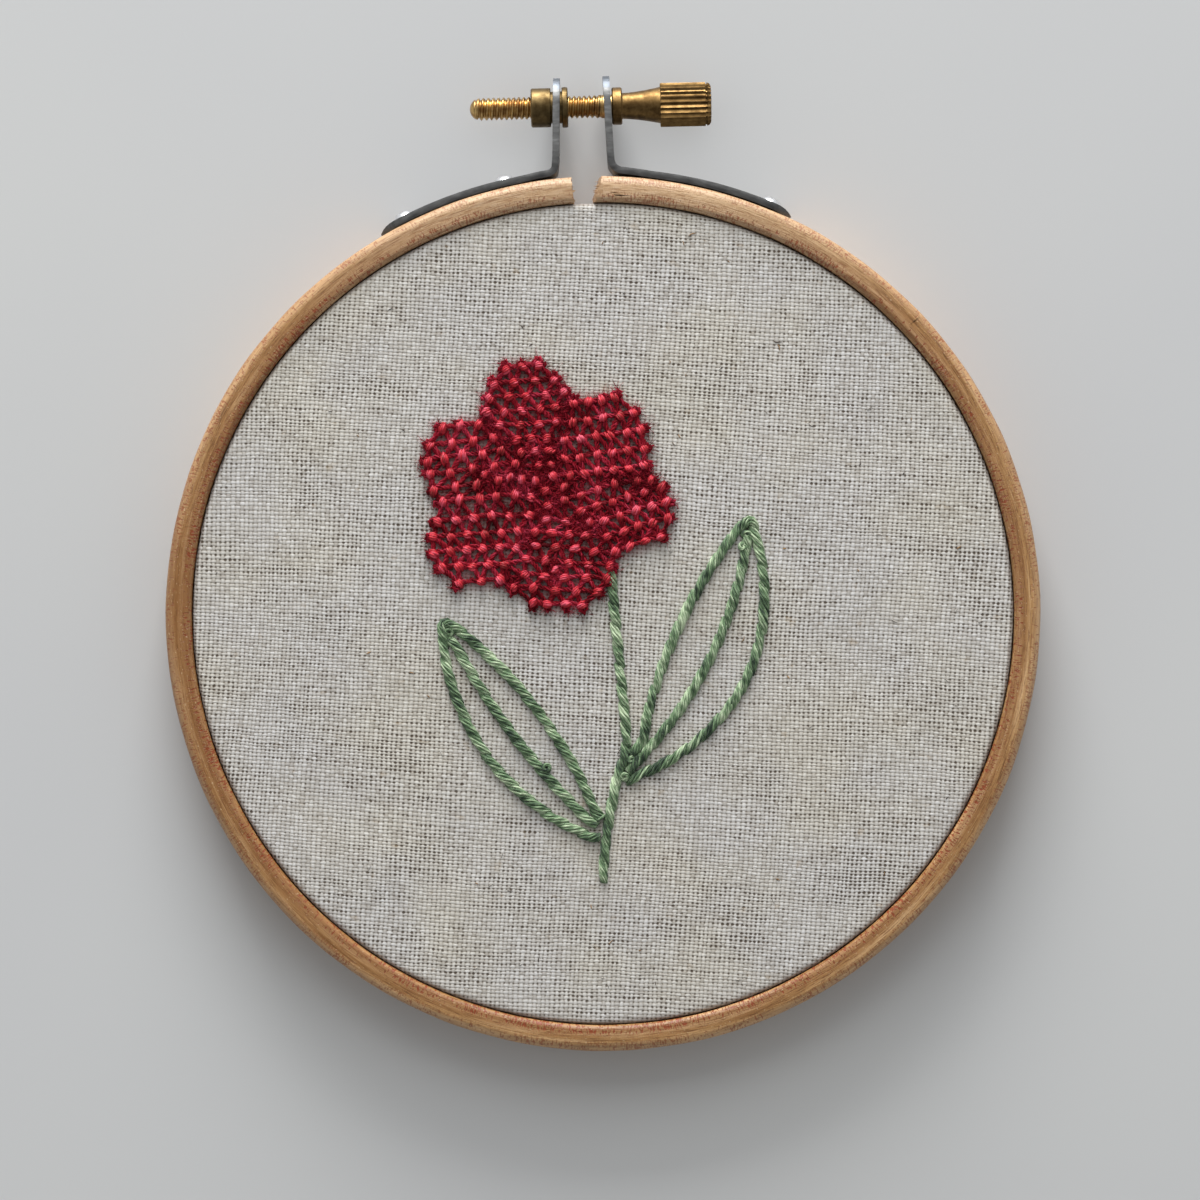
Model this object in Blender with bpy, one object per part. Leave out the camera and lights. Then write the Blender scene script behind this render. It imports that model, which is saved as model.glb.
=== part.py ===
"""A small embroidery hoop with stitched linen, lying on its back.

Metres, +Z towards the viewer, +Y towards the clasp. The origin is under the middle of the whole
outline, on the surface that the hoop lies on. Linen is stretched over a closed inner ring and
clamped by a split outer ring, whose two steel ears are drawn together by a brass thumbscrew.
"""

import math

import bmesh
import bpy
from mathutils import Matrix, Vector
from mathutils.geometry import delaunay_2d_cdt

MM = 0.001
GAP = 0.3 * MM  # between neighbouring pieces
FULL_TURN = 2 * math.pi

# Wooden rings and the linen between them
OUTER_RADIUS = 54.8 * MM
OUTER_WALL = 3.3 * MM
HOOP_DEPTH = 8.0 * MM
INNER_WALL = 3.6 * MM
LINEN_THICKNESS = 1.0 * MM
LINEN_BELOW_RIDGE = 0.6 * MM
LINEN_EDGE_RADIUS = 0.8 * MM
LINEN_CUT_EDGE_Z = 0.8 * MM
RING_STEPS = 72
SPLIT_WIDTH = 3.0 * MM

SOCKET_RADIUS = OUTER_RADIUS - OUTER_WALL
LINEN_RADIUS = SOCKET_RADIUS - GAP
LINEN_TOP = HOOP_DEPTH - LINEN_BELOW_RIDGE
INNER_RADIUS = LINEN_RADIUS - LINEN_THICKNESS - GAP
INNER_DEPTH = LINEN_TOP - LINEN_THICKNESS - GAP

# Clasp: bent steel strips, rivets, nut and thumbscrew. Its own +Y runs through the split.
CLASP_TURN = math.radians(2.5)
CLASP_Z = HOOP_DEPTH / 2
STRIP_THICKNESS = 0.95 * MM
STRIP_WIDTH = 6.4 * MM
STRIP_REACH = math.radians(27.7)
EAR_TOP = 67.6 * MM
# Both ears lean in a little. Only one rivet shows on the right strip.
STRIPS = {
    "left": {"side": -1, "foot_x": 3.55 * MM, "top_x": 2.9 * MM, "bend": 1.0 * MM, "rivets": (10.4, 24.2)},
    "right": {"side": 1, "foot_x": 3.5 * MM, "top_x": 3.3 * MM, "bend": 1.5 * MM, "rivets": (24.8,)},
}
RIVET_RADIUS = 1.35 * MM
RIVET_HEIGHT = 0.5 * MM

# Thumbscrew, along its own +X from the point between the ears
SCREW_FROM_CENTRE = 63.9 * MM
SCREW_TILT = math.radians(1.35)
TIP_X = -14.0 * MM
THREAD_END_X = 1.5 * MM
THREAD_PITCH = 0.635 * MM
THREAD_RADIUS = 1.42 * MM
THREAD_DEPTH = 0.3 * MM
SHANK_RADIUS = 1.5 * MM
COLLAR_RADIUS = 2.35 * MM
COLLAR_LENGTH = 1.05 * MM
NECK_LENGTH = 4.8 * MM
NECK_RADII = (1.72 * MM, 1.85 * MM, 2.3 * MM)
KNURL_LENGTH = 6.4 * MM
KNURL_RADIUS = 2.75 * MM
KNURL_DEPTH = 0.22 * MM
KNURL_RIDGES = 25
NUT_RADIUS = 2.45 * MM
NUT_BODY_LENGTH = 2.25 * MM
NUT_FLANGE_LENGTH = 0.5 * MM
NUT_BORE_RADIUS = THREAD_RADIUS + 0.26 * MM
NUT_NECK_RADIUS = 2.0 * MM
NUT_HOLE_RADIUS = NUT_NECK_RADIUS + 0.25 * MM
SHANK_HOLE_RADIUS = SHANK_RADIUS + 0.3 * MM

# Stitching on the linen. Places are measured from the rings' centre.
STITCH_Z = LINEN_TOP + GAP
ROPE_WIDTH = 1.55 * MM
ROPE_FLATTENING = 0.62
ROPE_TWIST_PITCH = 4.4 * MM
ROPE_STEP = 0.85 * MM
ROPE_SIDES = 6
FLOWER_CENTRE = Vector((-7.25, 15.45)) * MM
FLOWER_BED = 0.45 * MM
KNOT_HEIGHT = 1.2 * MM
KNOT_LENGTH = 1.6 * MM
KNOT_BREADTH = 1.25 * MM
KNOT_SPACING = 2.05 * MM
KNOT_ROW_SPACING = 1.85 * MM
# Each petal starts at a notch in the outline, given by its direction and distance in mm from the
# centre, and swells to its tip's distance. Its rows of knots run in their own direction.
PETALS = (
    {"from": 13, "notch": 12.8, "tip": 15.3, "rows": 8},
    {"from": 75, "notch": 12.1, "tip": 16.6, "rows": 14},
    {"from": 136, "notch": 12.7, "tip": 15.9, "rows": -8},
    {"from": 189, "notch": 13.6, "tip": 16.8, "rows": 3},
    {"from": 248, "notch": 13.4, "tip": 15.8, "rows": -4},
    {"from": 312, "notch": 12.5, "tip": 16.6, "rows": 20},
)
STEM = ((1.15, 3.6), (1.7, -2.6), (2.4, -9.6), (2.9, -16.5), (1.8, -20.6), (0.6, -26.7), (-0.1, -33.6))
# Each line of a leaf starts at x, y near the stem and bows to its right on the way to the tip, all in mm.
LEAVES = (
    {
        "name": "right_leaf",
        "tip": (18.2, 10.9),
        "left": {"start": (4.9, -16.0), "bow": -1.9},
        "middle": {"start": (4.6, -18.0), "bow": 2.7},
        "right": {"start": (3.9, -20.5), "bow": 7.3},
    },
    {
        "name": "left_leaf",
        "tip": (-19.5, -1.9),
        "left": {"start": (-1.8, -27.8), "bow": -4.5},
        "middle": {"start": (-1.6, -26.0), "bow": -1.3},
        "right": {"start": (-1.1, -24.4), "bow": 1.9},
    },
)
LEAF_TIP_RADIUS = 1.1 * MM
LEAF_FULLNESS = 0.8
MIDRIB_SPAN = (0.12, 0.88)

# The right ear's outer corner is the highest point, so it sets where the rings' centre lies.
EAR_CORNER_X = STRIPS["right"]["top_x"] + STRIP_THICKNESS / 2
CLASP_REACH = EAR_TOP * math.cos(CLASP_TURN) + EAR_CORNER_X * math.sin(CLASP_TURN)
RINGS_Y = (OUTER_RADIUS - CLASP_REACH) / 2


def clear_scene():
    for obj in list(bpy.data.objects):
        bpy.data.objects.remove(obj)


def material(name, colour, roughness, metallic=0.0):
    made = bpy.data.materials.new(name)
    made.use_nodes = True
    surface = made.node_tree.nodes["Principled BSDF"]
    surface.inputs["Base Color"].default_value = (*colour, 1.0)
    surface.inputs["Roughness"].default_value = roughness
    surface.inputs["Metallic"].default_value = metallic
    return made


def empty(name, location, turn=0.0, parent=None):
    made = bpy.data.objects.new(name, None)
    bpy.context.scene.collection.objects.link(made)
    made.location = location
    made.rotation_euler.z = turn
    made.parent = parent
    return made


def mesh_object(name, bm, surface, parent):
    """Turns a bmesh into a smooth-shaded object with sharp creases."""
    bmesh.ops.recalc_face_normals(bm, faces=bm.faces)
    mesh = bpy.data.meshes.new(name)
    bm.to_mesh(mesh)
    bm.free()
    mesh.shade_smooth()
    mesh.set_sharp_from_angle(angle=math.radians(35))
    mesh.materials.append(surface)
    made = bpy.data.objects.new(name, mesh)
    bpy.context.scene.collection.objects.link(made)
    made.parent = parent
    return made


def hide_helper(obj):
    obj.hide_render = True
    obj.display_type = "WIRE"


def boolean(target, other, operation):
    """Cuts or joins target with other, which becomes a hidden helper."""
    modifier = target.modifiers.new(operation.lower(), "BOOLEAN")
    modifier.operation = operation
    modifier.solver = "EXACT"
    modifier.object = other
    hide_helper(other)


def turned(name, profile, axis, surface, parent, steps=RING_STEPS, start=0.0, angle=FULL_TURN):
    """Spins a profile of (radius, place along the axis) about Z or X, all the way round or in part."""
    bm = bmesh.new()
    if axis == "Z":
        corners = [bm.verts.new((radius, 0, along)) for radius, along in profile]
        axle = Vector((0, 0, 1))
    else:
        corners = [bm.verts.new((along, 0, radius)) for radius, along in profile]
        axle = Vector((1, 0, 0))
    whole = angle == FULL_TURN
    if whole:
        edges = [bm.edges.new(pair) for pair in zip(corners, corners[1:])]
        if min(radius for radius, _ in profile) > 0:
            edges.append(bm.edges.new((corners[-1], corners[0])))
        geometry = corners + edges
    else:
        face = bm.faces.new(corners)
        geometry = [face, *face.edges, *face.verts]
    bmesh.ops.rotate(bm, verts=corners, cent=(0, 0, 0), matrix=Matrix.Rotation(start, 3, axle))
    bmesh.ops.spin(
        bm,
        geom=geometry,
        cent=(0, 0, 0),
        axis=axle,
        angle=angle,
        steps=steps,
        use_merge=whole,
        use_duplicate=False,
    )
    bmesh.ops.remove_doubles(bm, verts=bm.verts, dist=1e-6)
    return mesh_object(name, bm, surface, parent)


def arc(centre, radius, start, end, count):
    """Points (r, h) on an arc of the profile plane, angles in degrees from +r towards +h."""
    turns = [math.radians(start + (end - start) * i / (count - 1)) for i in range(count)]
    return [(centre[0] + radius * math.cos(a), centre[1] + radius * math.sin(a)) for a in turns]


# ------------------------------------------------------------------ rings and linen


def add_outer_ring(beech, parent):
    """Split ring: straight walls, soft corners at the back, a narrow ridge along the front."""
    inner, outer, depth = SOCKET_RADIUS, OUTER_RADIUS, HOOP_DEPTH
    back_corner = 0.3 * MM
    front_corner = 1.2 * MM
    profile = [
        (inner, back_corner),
        (inner + back_corner, 0),
        (outer - back_corner, 0),
        (outer, back_corner),
        *arc((outer - front_corner, depth - front_corner), front_corner, 0, 90, 4),
        *arc((inner + front_corner, depth - front_corner), front_corner, 90, 180, 4),
    ]
    half_split = SPLIT_WIDTH / 2 / OUTER_RADIUS
    ring = turned(
        "outer_ring",
        profile,
        "Z",
        beech,
        parent,
        start=math.pi / 2 + half_split,
        angle=FULL_TURN - 2 * half_split,
    )
    break_ends(ring.data, half_split)
    return ring


def break_ends(mesh, half_split):
    """The wood was snapped rather than sawn: the right end steps out across the wall."""
    step = {-1: 0.12 * MM, 1: 0.5 * MM}  # left and right of the split
    middle = (SOCKET_RADIUS + OUTER_RADIUS) / 2
    for vertex in mesh.vertices:
        x, y, z = vertex.co
        radius = math.hypot(x, y)
        turn = math.atan2(x, y)
        at_an_end = abs(abs(turn) - half_split) < 1e-4
        if not at_an_end:
            continue
        side = round(math.copysign(1, turn))
        across = (radius - middle) / (OUTER_WALL / 2)
        wave = across + 0.4 * math.cos(5 * z / HOOP_DEPTH + side)
        turn += side * step[side] * wave / radius
        vertex.co = (radius * math.sin(turn), radius * math.cos(turn), z)


def add_inner_ring(beech, parent):
    """Closed ring, hidden by the linen at the front and seen from the back."""
    inner, outer, depth = INNER_RADIUS - INNER_WALL, INNER_RADIUS, INNER_DEPTH
    corner = 0.4 * MM
    profile = [
        (inner, corner),
        (inner + corner, 0),
        (outer - corner, 0),
        (outer, corner),
        *arc((outer - corner, depth - corner), corner, 0, 90, 3),
        (inner + corner, depth),
        (inner, depth - corner),
    ]
    return turned("inner_ring", profile, "Z", beech, parent)


def add_linen(linen, parent):
    """One sheet: the flat face, a rounded turn over the inner ring, and a skirt down to its cut edge."""
    top, under = LINEN_TOP, LINEN_TOP - LINEN_THICKNESS
    turn = LINEN_EDGE_RADIUS
    inside = LINEN_RADIUS - LINEN_THICKNESS
    profile = [
        (0, top),
        *arc((LINEN_RADIUS - turn, top - turn), turn, 90, 0, 4),
        (LINEN_RADIUS, LINEN_CUT_EDGE_Z),
        (inside, LINEN_CUT_EDGE_Z),
        (inside, under),
        (0, under),
    ]
    return turned("linen", profile, "Z", linen, parent)


# ------------------------------------------------------------------ clasp


def ear_x(strip, height):
    """How far the middle of an ear lies from the clasp's centre line at a height above the foot."""
    lean = (strip["top_x"] - strip["foot_x"]) / (EAR_TOP - OUTER_RADIUS)
    return strip["foot_x"] + lean * (height - OUTER_RADIUS)


def strip_path(strip):
    """Points along the middle of a strip, from its end on the ring to the top of its ear."""
    radius = OUTER_RADIUS + GAP + STRIP_THICKNESS / 2
    bend = strip["bend"]
    lean = math.atan2(strip["foot_x"] - strip["top_x"], EAR_TOP - OUTER_RADIUS)
    # The bend's centre lies a bend radius off both the arc that hugs the ring and the ear.
    centre_x = strip["foot_x"] + bend
    centre_y = math.sqrt((radius + bend) ** 2 - centre_x**2)
    bend_start = math.atan2(centre_x, centre_y)
    points = []
    arc_steps = 14
    for i in range(arc_steps + 1):
        turn = STRIP_REACH + (bend_start - STRIP_REACH) * i / arc_steps
        points.append((radius * math.sin(turn), radius * math.cos(turn)))
    first, last = -math.pi / 2 - bend_start, -math.pi - lean
    bend_steps = 5
    for i in range(1, bend_steps + 1):
        turn = first + (last - first) * i / bend_steps
        points.append((centre_x + bend * math.cos(turn), centre_y + bend * math.sin(turn)))
    tip = STRIP_WIDTH / 2
    tip_steps = 6
    for i in range(tip_steps + 1):
        height = EAR_TOP - tip + tip * math.sin(math.pi / 2 * i / tip_steps)
        points.append((ear_x(strip, height), height))
    return [Vector((strip["side"] * x, y, 0)) for x, y in points]


def add_strip(name, strip, hole_radius, steel, parent, axis_frame):
    """A flat strip with two round ends, bent round the ring and up into an ear with a hole."""
    points = strip_path(strip)
    lengths = [0.0]
    for a, b in zip(points, points[1:]):
        lengths.append(lengths[-1] + (b - a).length)
    half = STRIP_WIDTH / 2
    narrowest = 0.25
    bm = bmesh.new()
    rows = []
    for point, length in zip(points, lengths):
        from_end = min(length, lengths[-1] - length, half)
        reach = half * max(narrowest, math.sqrt(1 - (1 - from_end / half) ** 2))
        rows.append([bm.verts.new(point + Vector((0, 0, z))) for z in (-reach, 0, reach)])
    for a, b in zip(rows, rows[1:]):
        for i in range(2):
            bm.faces.new((a[i], a[i + 1], b[i + 1], b[i]))
    made = mesh_object(name, bm, steel, parent)
    made.location.z = CLASP_Z
    thicken = made.modifiers.new("thickness", "SOLIDIFY")
    thicken.thickness = STRIP_THICKNESS
    thicken.offset = 0
    thicken.use_even_offset = True
    cutter_reach = 2 * STRIP_THICKNESS
    hole = turned(
        name + "_hole_cutter",
        [(0, -cutter_reach), (hole_radius, -cutter_reach), (hole_radius, cutter_reach), (0, cutter_reach)],
        "X",
        steel,
        axis_frame,
        steps=20,
    )
    hole.location.x = strip["side"] * ear_x(strip, SCREW_FROM_CENTRE)
    boolean(made, hole, "DIFFERENCE")
    return made


def add_rivet(name, turn, aluminium, parent):
    """Low round head on the strip, its axis along the ring's radius."""
    profile = [
        (0, RIVET_HEIGHT),
        (0.55 * RIVET_RADIUS, 0.85 * RIVET_HEIGHT),
        (0.88 * RIVET_RADIUS, 0.45 * RIVET_HEIGHT),
        (RIVET_RADIUS, 0),
        (0, 0),
    ]
    rivet = turned(name, profile, "Z", aluminium, parent, steps=12)
    seat = OUTER_RADIUS + 2 * GAP + STRIP_THICKNESS
    rivet.location = (seat * math.sin(turn), seat * math.cos(turn), CLASP_Z)
    rivet.rotation_euler = (-math.pi / 2, 0, -turn)
    return rivet


def ear_slot(strip, radius):
    """Half the room that a round piece needs along the screw to clear a leaning ear."""
    lean = math.atan2(strip["foot_x"] - strip["top_x"], EAR_TOP - OUTER_RADIUS)
    off_square = abs(lean - strip["side"] * (CLASP_TURN - SCREW_TILT))
    return STRIP_THICKNESS / 2 + radius * math.tan(off_square) + GAP


def add_nut(brass, parent):
    """Plain barrel, a neck that fills the left ear's hole, and a flange on the ear's other face."""
    ear = -ear_x(STRIPS["left"], SCREW_FROM_CENTRE)
    slot = ear_slot(STRIPS["left"], NUT_RADIUS)
    start = ear - slot - NUT_BODY_LENGTH
    end = ear + slot + NUT_FLANGE_LENGTH
    chamfer = 0.12 * MM
    profile = [
        (NUT_BORE_RADIUS, start),
        (NUT_RADIUS - chamfer, start),
        (NUT_RADIUS, start + chamfer),
        (NUT_RADIUS, ear - slot),
        (NUT_NECK_RADIUS, ear - slot),
        (NUT_NECK_RADIUS, ear + slot),
        (NUT_RADIUS, ear + slot),
        (NUT_RADIUS, end),
        (NUT_BORE_RADIUS, end),
    ]
    return turned("nut", profile, "X", brass, parent, steps=24)


def collar_start():
    return ear_x(STRIPS["right"], SCREW_FROM_CENTRE) + ear_slot(STRIPS["right"], COLLAR_RADIUS)


def threaded_rod(brass, parent):
    """Round-tipped rod whose radius follows a helix, ending in a plain shank inside the collar."""
    sides = 12
    rows_per_pitch = 4
    end = collar_start() + COLLAR_LENGTH / 2
    tip_length = THREAD_RADIUS * 0.8
    stations = [TIP_X + tip_length * x for x in (0.08, 0.35, 0.7)]
    row = THREAD_PITCH / rows_per_pitch
    threaded = int((THREAD_END_X - TIP_X - tip_length) / row)
    stations += [TIP_X + tip_length + row * i for i in range(threaded + 1)]
    stations += [THREAD_END_X + 2 * row, end]
    bm = bmesh.new()
    rings = []
    for x in stations:
        ring = []
        for side in range(sides):
            turn = FULL_TURN * side / sides
            radius = rod_radius(x, turn, tip_length)
            ring.append(bm.verts.new((x, radius * math.sin(turn), radius * math.cos(turn))))
        rings.append(ring)
    for a, b in zip(rings, rings[1:]):
        for i in range(sides):
            j = (i + 1) % sides
            bm.faces.new((a[i], a[j], b[j], b[i]))
    bm.faces.new(rings[0])
    bm.faces.new(reversed(rings[-1]))
    return mesh_object("thumbscrew", bm, brass, parent)


def rod_radius(x, turn, tip_length):
    """Crest or root radius of the helix at x, domed at the tip and plain past the thread's end."""
    phase = (x / THREAD_PITCH - turn / FULL_TURN) % 1
    radius = THREAD_RADIUS - THREAD_DEPTH * abs(2 * phase - 1)
    if x > THREAD_END_X:
        return SHANK_RADIUS
    from_tip = (x - TIP_X) / tip_length
    if from_tip < 1:
        dome = math.sqrt(1 - (1 - from_tip) ** 2)
        return min(radius, (THREAD_RADIUS - THREAD_DEPTH / 2) * dome)
    return radius


def add_thumbscrew(brass, parent):
    """Rod, collar, tapered neck and knurled head, turned from one bar."""
    screw = threaded_rod(brass, parent)
    collar_x = collar_start()
    neck_x = collar_x + COLLAR_LENGTH
    head_x = neck_x + NECK_LENGTH
    inside_head = 1.0 * MM
    neck = turned(
        "neck_helper",
        [
            (0, collar_x),
            (COLLAR_RADIUS, collar_x),
            (COLLAR_RADIUS, neck_x),
            (NECK_RADII[0], neck_x),
            (NECK_RADII[1], neck_x + NECK_LENGTH / 2),
            (NECK_RADII[2], head_x),
            (NECK_RADII[2], head_x + inside_head),
            (0, head_x + inside_head),
        ],
        "X",
        brass,
        parent,
        steps=24,
    )
    boolean(screw, neck, "UNION")
    boolean(screw, knurled_head(head_x, brass, parent), "UNION")
    return screw


def knurled_head(head_x, brass, parent):
    """Straight-knurled grip with a small chamfer at both ends."""
    chamfer = 0.35 * MM
    stations = (
        (head_x, -0.15 * MM),
        (head_x + 0.15 * MM, 0),
        (head_x + KNURL_LENGTH - chamfer, 0),
        (head_x + KNURL_LENGTH, -chamfer),
    )
    bm = bmesh.new()
    rings = []
    for x, less in stations:
        ring = []
        for i in range(2 * KNURL_RIDGES):
            turn = FULL_TURN * i / (2 * KNURL_RIDGES)
            radius = KNURL_RADIUS + less - (KNURL_DEPTH if i % 2 else 0)
            ring.append(bm.verts.new((x, radius * math.sin(turn), radius * math.cos(turn))))
        rings.append(ring)
    for a, b in zip(rings, rings[1:]):
        for i in range(2 * KNURL_RIDGES):
            j = (i + 1) % (2 * KNURL_RIDGES)
            bm.faces.new((a[i], a[j], b[j], b[i]))
    bm.faces.new(rings[0])
    bm.faces.new(reversed(rings[-1]))
    return mesh_object("knurl_helper", bm, brass, parent)


# ------------------------------------------------------------------ stitching


def smooth_points(points, step):
    """A Catmull-Rom curve through the points, resampled to even steps."""
    ends = [2 * points[0] - points[1], *points, 2 * points[-1] - points[-2]]
    fine = []
    parts = 24
    for a, b, c, d in zip(ends, ends[1:], ends[2:], ends[3:]):
        for i in range(parts):
            t = i / parts
            slope, bend, twist = c - a, 2 * a - 5 * b + 4 * c - d, 3 * b - a - 3 * c + d
            fine.append(b + (slope * t + bend * t**2 + twist * t**3) / 2)
    fine.append(points[-1])
    lengths = [0.0]
    for a, b in zip(fine, fine[1:]):
        lengths.append(lengths[-1] + (b - a).length)
    count = max(2, round(lengths[-1] / step))
    even, j = [], 0
    for i in range(count + 1):
        wanted = lengths[-1] * i / count
        while j < len(lengths) - 2 and lengths[j + 1] < wanted:
            j += 1
        share = (wanted - lengths[j]) / (lengths[j + 1] - lengths[j])
        even.append(fine[j].lerp(fine[j + 1], min(1.0, share)))
    return even


def rope_section():
    """Two-lobed closed section that the ropes are swept with."""
    data = bpy.data.curves.new("rope_section", "CURVE")
    data.dimensions = "2D"
    spline = data.splines.new("POLY")
    spline.points.add(ROPE_SIDES - 1)
    lobe = 0.12
    for i, point in enumerate(spline.points):
        turn = -FULL_TURN * i / ROPE_SIDES
        radius = ROPE_WIDTH / 2 * (1 - lobe + lobe * math.cos(2 * turn))
        point.co = (radius * math.cos(turn), radius * math.sin(turn), 0, 1)
    spline.use_cyclic_u = True
    section = bpy.data.objects.new("rope_section", data)
    bpy.context.scene.collection.objects.link(section)
    hide_helper(section)
    return section


def add_rope(name, points, section, thread, parent):
    """A line of stem stitch: a flattened two-strand rope along the points, lying on the linen."""
    data = bpy.data.curves.new(name, "CURVE")
    data.dimensions = "3D"
    data.twist_mode = "Z_UP"
    data.bevel_mode = "OBJECT"
    data.bevel_object = section
    data.use_fill_caps = True
    route = smooth_points(points, ROPE_STEP)
    spline = data.splines.new("POLY")
    spline.points.add(len(route) - 1)
    for i, (point, place) in enumerate(zip(spline.points, route)):
        point.co = (place.x, place.y, 0, 1)
        point.tilt = FULL_TURN * i * ROPE_STEP / ROPE_TWIST_PITCH
        if i in (0, len(route) - 1):
            point.radius = 0.7
    data.materials.append(thread)
    rope = bpy.data.objects.new(name, data)
    bpy.context.scene.collection.objects.link(rope)
    rope.parent = parent
    rope.scale.z = ROPE_FLATTENING
    rope.location.z = STITCH_Z + ROPE_WIDTH / 2 * ROPE_FLATTENING
    return rope


def leaf_line(line, end, span=(0.0, 1.0), count=9):
    """Points from a line's start to its end, bowed to the right of the straight way."""
    start = Vector(line["start"]) * MM
    along = end - start
    across = Vector((along.y, -along.x)).normalized()
    points = []
    for i in range(count):
        t = span[0] + (span[1] - span[0]) * i / (count - 1)
        bulge = line["bow"] * MM * abs(math.sin(math.pi * t)) ** LEAF_FULLNESS
        points.append(start + along * t + across * bulge)
    return points


def add_leaf(leaf, section, thread, parent):
    """An outline that turns round the tip, and a midrib that stops short of it."""
    tip = Vector(leaf["tip"]) * MM
    along = (tip - Vector(leaf["middle"]["start"]) * MM).normalized()
    aside = Vector((along.y, -along.x)) * LEAF_TIP_RADIUS
    left = leaf_line(leaf["left"], tip - aside)
    right = leaf_line(leaf["right"], tip + aside)
    outline = left + [tip + along * LEAF_TIP_RADIUS] + right[::-1]
    add_rope(leaf["name"] + "_outline", outline, section, thread, parent)
    midrib = leaf_line(leaf["middle"], tip, MIDRIB_SPAN, count=7)
    add_rope(leaf["name"] + "_midrib", midrib, section, thread, parent)


def petal_share(turn):
    """(petal, next petal, how far through the petal) in one direction from the flower's centre."""
    degrees = math.degrees(turn) % 360
    following = PETALS[1:] + PETALS[:1]
    for petal, after in zip(PETALS, following):
        width = (after["from"] - petal["from"]) % 360
        share = (degrees - petal["from"]) % 360 / width
        if share < 1:
            return petal, after, share
    raise ValueError("the petals leave a gap")


def flower_radius(turn):
    """How far the outline lies from the flower's centre in one direction."""
    petal, after, share = petal_share(turn)
    notch = petal["notch"] + (after["notch"] - petal["notch"]) * share
    return (notch + (petal["tip"] - notch) * math.sin(math.pi * share)) * MM


def flower_knots():
    """(place, direction of its row) of each knot: staggered rows in each petal, none too close."""
    knots = []
    rows = range(-9, 10)
    closest = 0.74 * KNOT_SPACING
    margin = KNOT_LENGTH / 2 + 0.05 * MM
    for petal in PETALS:
        turn = math.radians(petal["rows"])
        along = Vector((math.cos(turn), math.sin(turn)))
        across = Vector((-along.y, along.x))
        for row in rows:
            for column in rows:
                stagger = 0.5 * (row % 2)
                place = along * (column + stagger) * KNOT_SPACING + across * row * KNOT_ROW_SPACING
                direction = math.atan2(place.y, place.x)
                outside = place.length > flower_radius(direction) - margin
                if outside or petal_share(direction)[0] is not petal:
                    continue
                if all((place - other).length > closest for other, _ in knots):
                    knots.append((place, turn))
    return knots


def knot_points(place, row):
    """(place, height) of a knot's foot, an oval that lies across its row, and of its short ridge."""
    stitch = Matrix.Rotation(row + math.pi / 2, 2)
    foot_points = 6
    points = []
    for i in range(foot_points):
        turn = FULL_TURN * i / foot_points
        oval = Vector((KNOT_LENGTH / 2 * math.cos(turn), KNOT_BREADTH / 2 * math.sin(turn)))
        points.append((place + stitch @ oval, FLOWER_BED))
    ridge = (KNOT_LENGTH - KNOT_BREADTH) / 2
    for end in (-ridge, ridge):
        points.append((place + stitch @ Vector((end, 0)), KNOT_HEIGHT))
    return points


def add_flower(thread, parent):
    """One bed of lacing: a lobed outline, level underneath, with each knot raised in its top."""
    outline_points = 72
    flat = []
    heights = []
    for i in range(outline_points):
        turn = FULL_TURN * i / outline_points
        flat.append(Vector((math.cos(turn), math.sin(turn))) * flower_radius(turn))
        heights.append(FLOWER_BED)
    for place, row in flower_knots():
        for point, height in knot_points(place, row):
            flat.append(point)
            heights.append(height)
    border = [(i, (i + 1) % outline_points) for i in range(outline_points)]
    places, _, faces, origins, _, _ = delaunay_2d_cdt(flat, border, [], 1, 1e-7)
    bm = bmesh.new()
    top = []
    for place, sources in zip(places, origins):
        top.append(bm.verts.new((place.x, place.y, heights[sources[0]])))
    for face in faces:
        bm.faces.new([top[i] for i in face])
    placed = {source: corner for corner, sources in zip(top, origins) for source in sources}
    rim = [placed[i] for i in range(outline_points)]
    foot = [bm.verts.new((corner.co.x, corner.co.y, 0)) for corner in rim]
    for i in range(outline_points):
        j = (i + 1) % outline_points
        bm.faces.new((rim[i], foot[i], foot[j], rim[j]))
    bm.faces.new(foot)
    flower = mesh_object("flower", bm, thread, parent)
    flower.location = (*FLOWER_CENTRE, STITCH_Z)
    return flower


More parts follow.
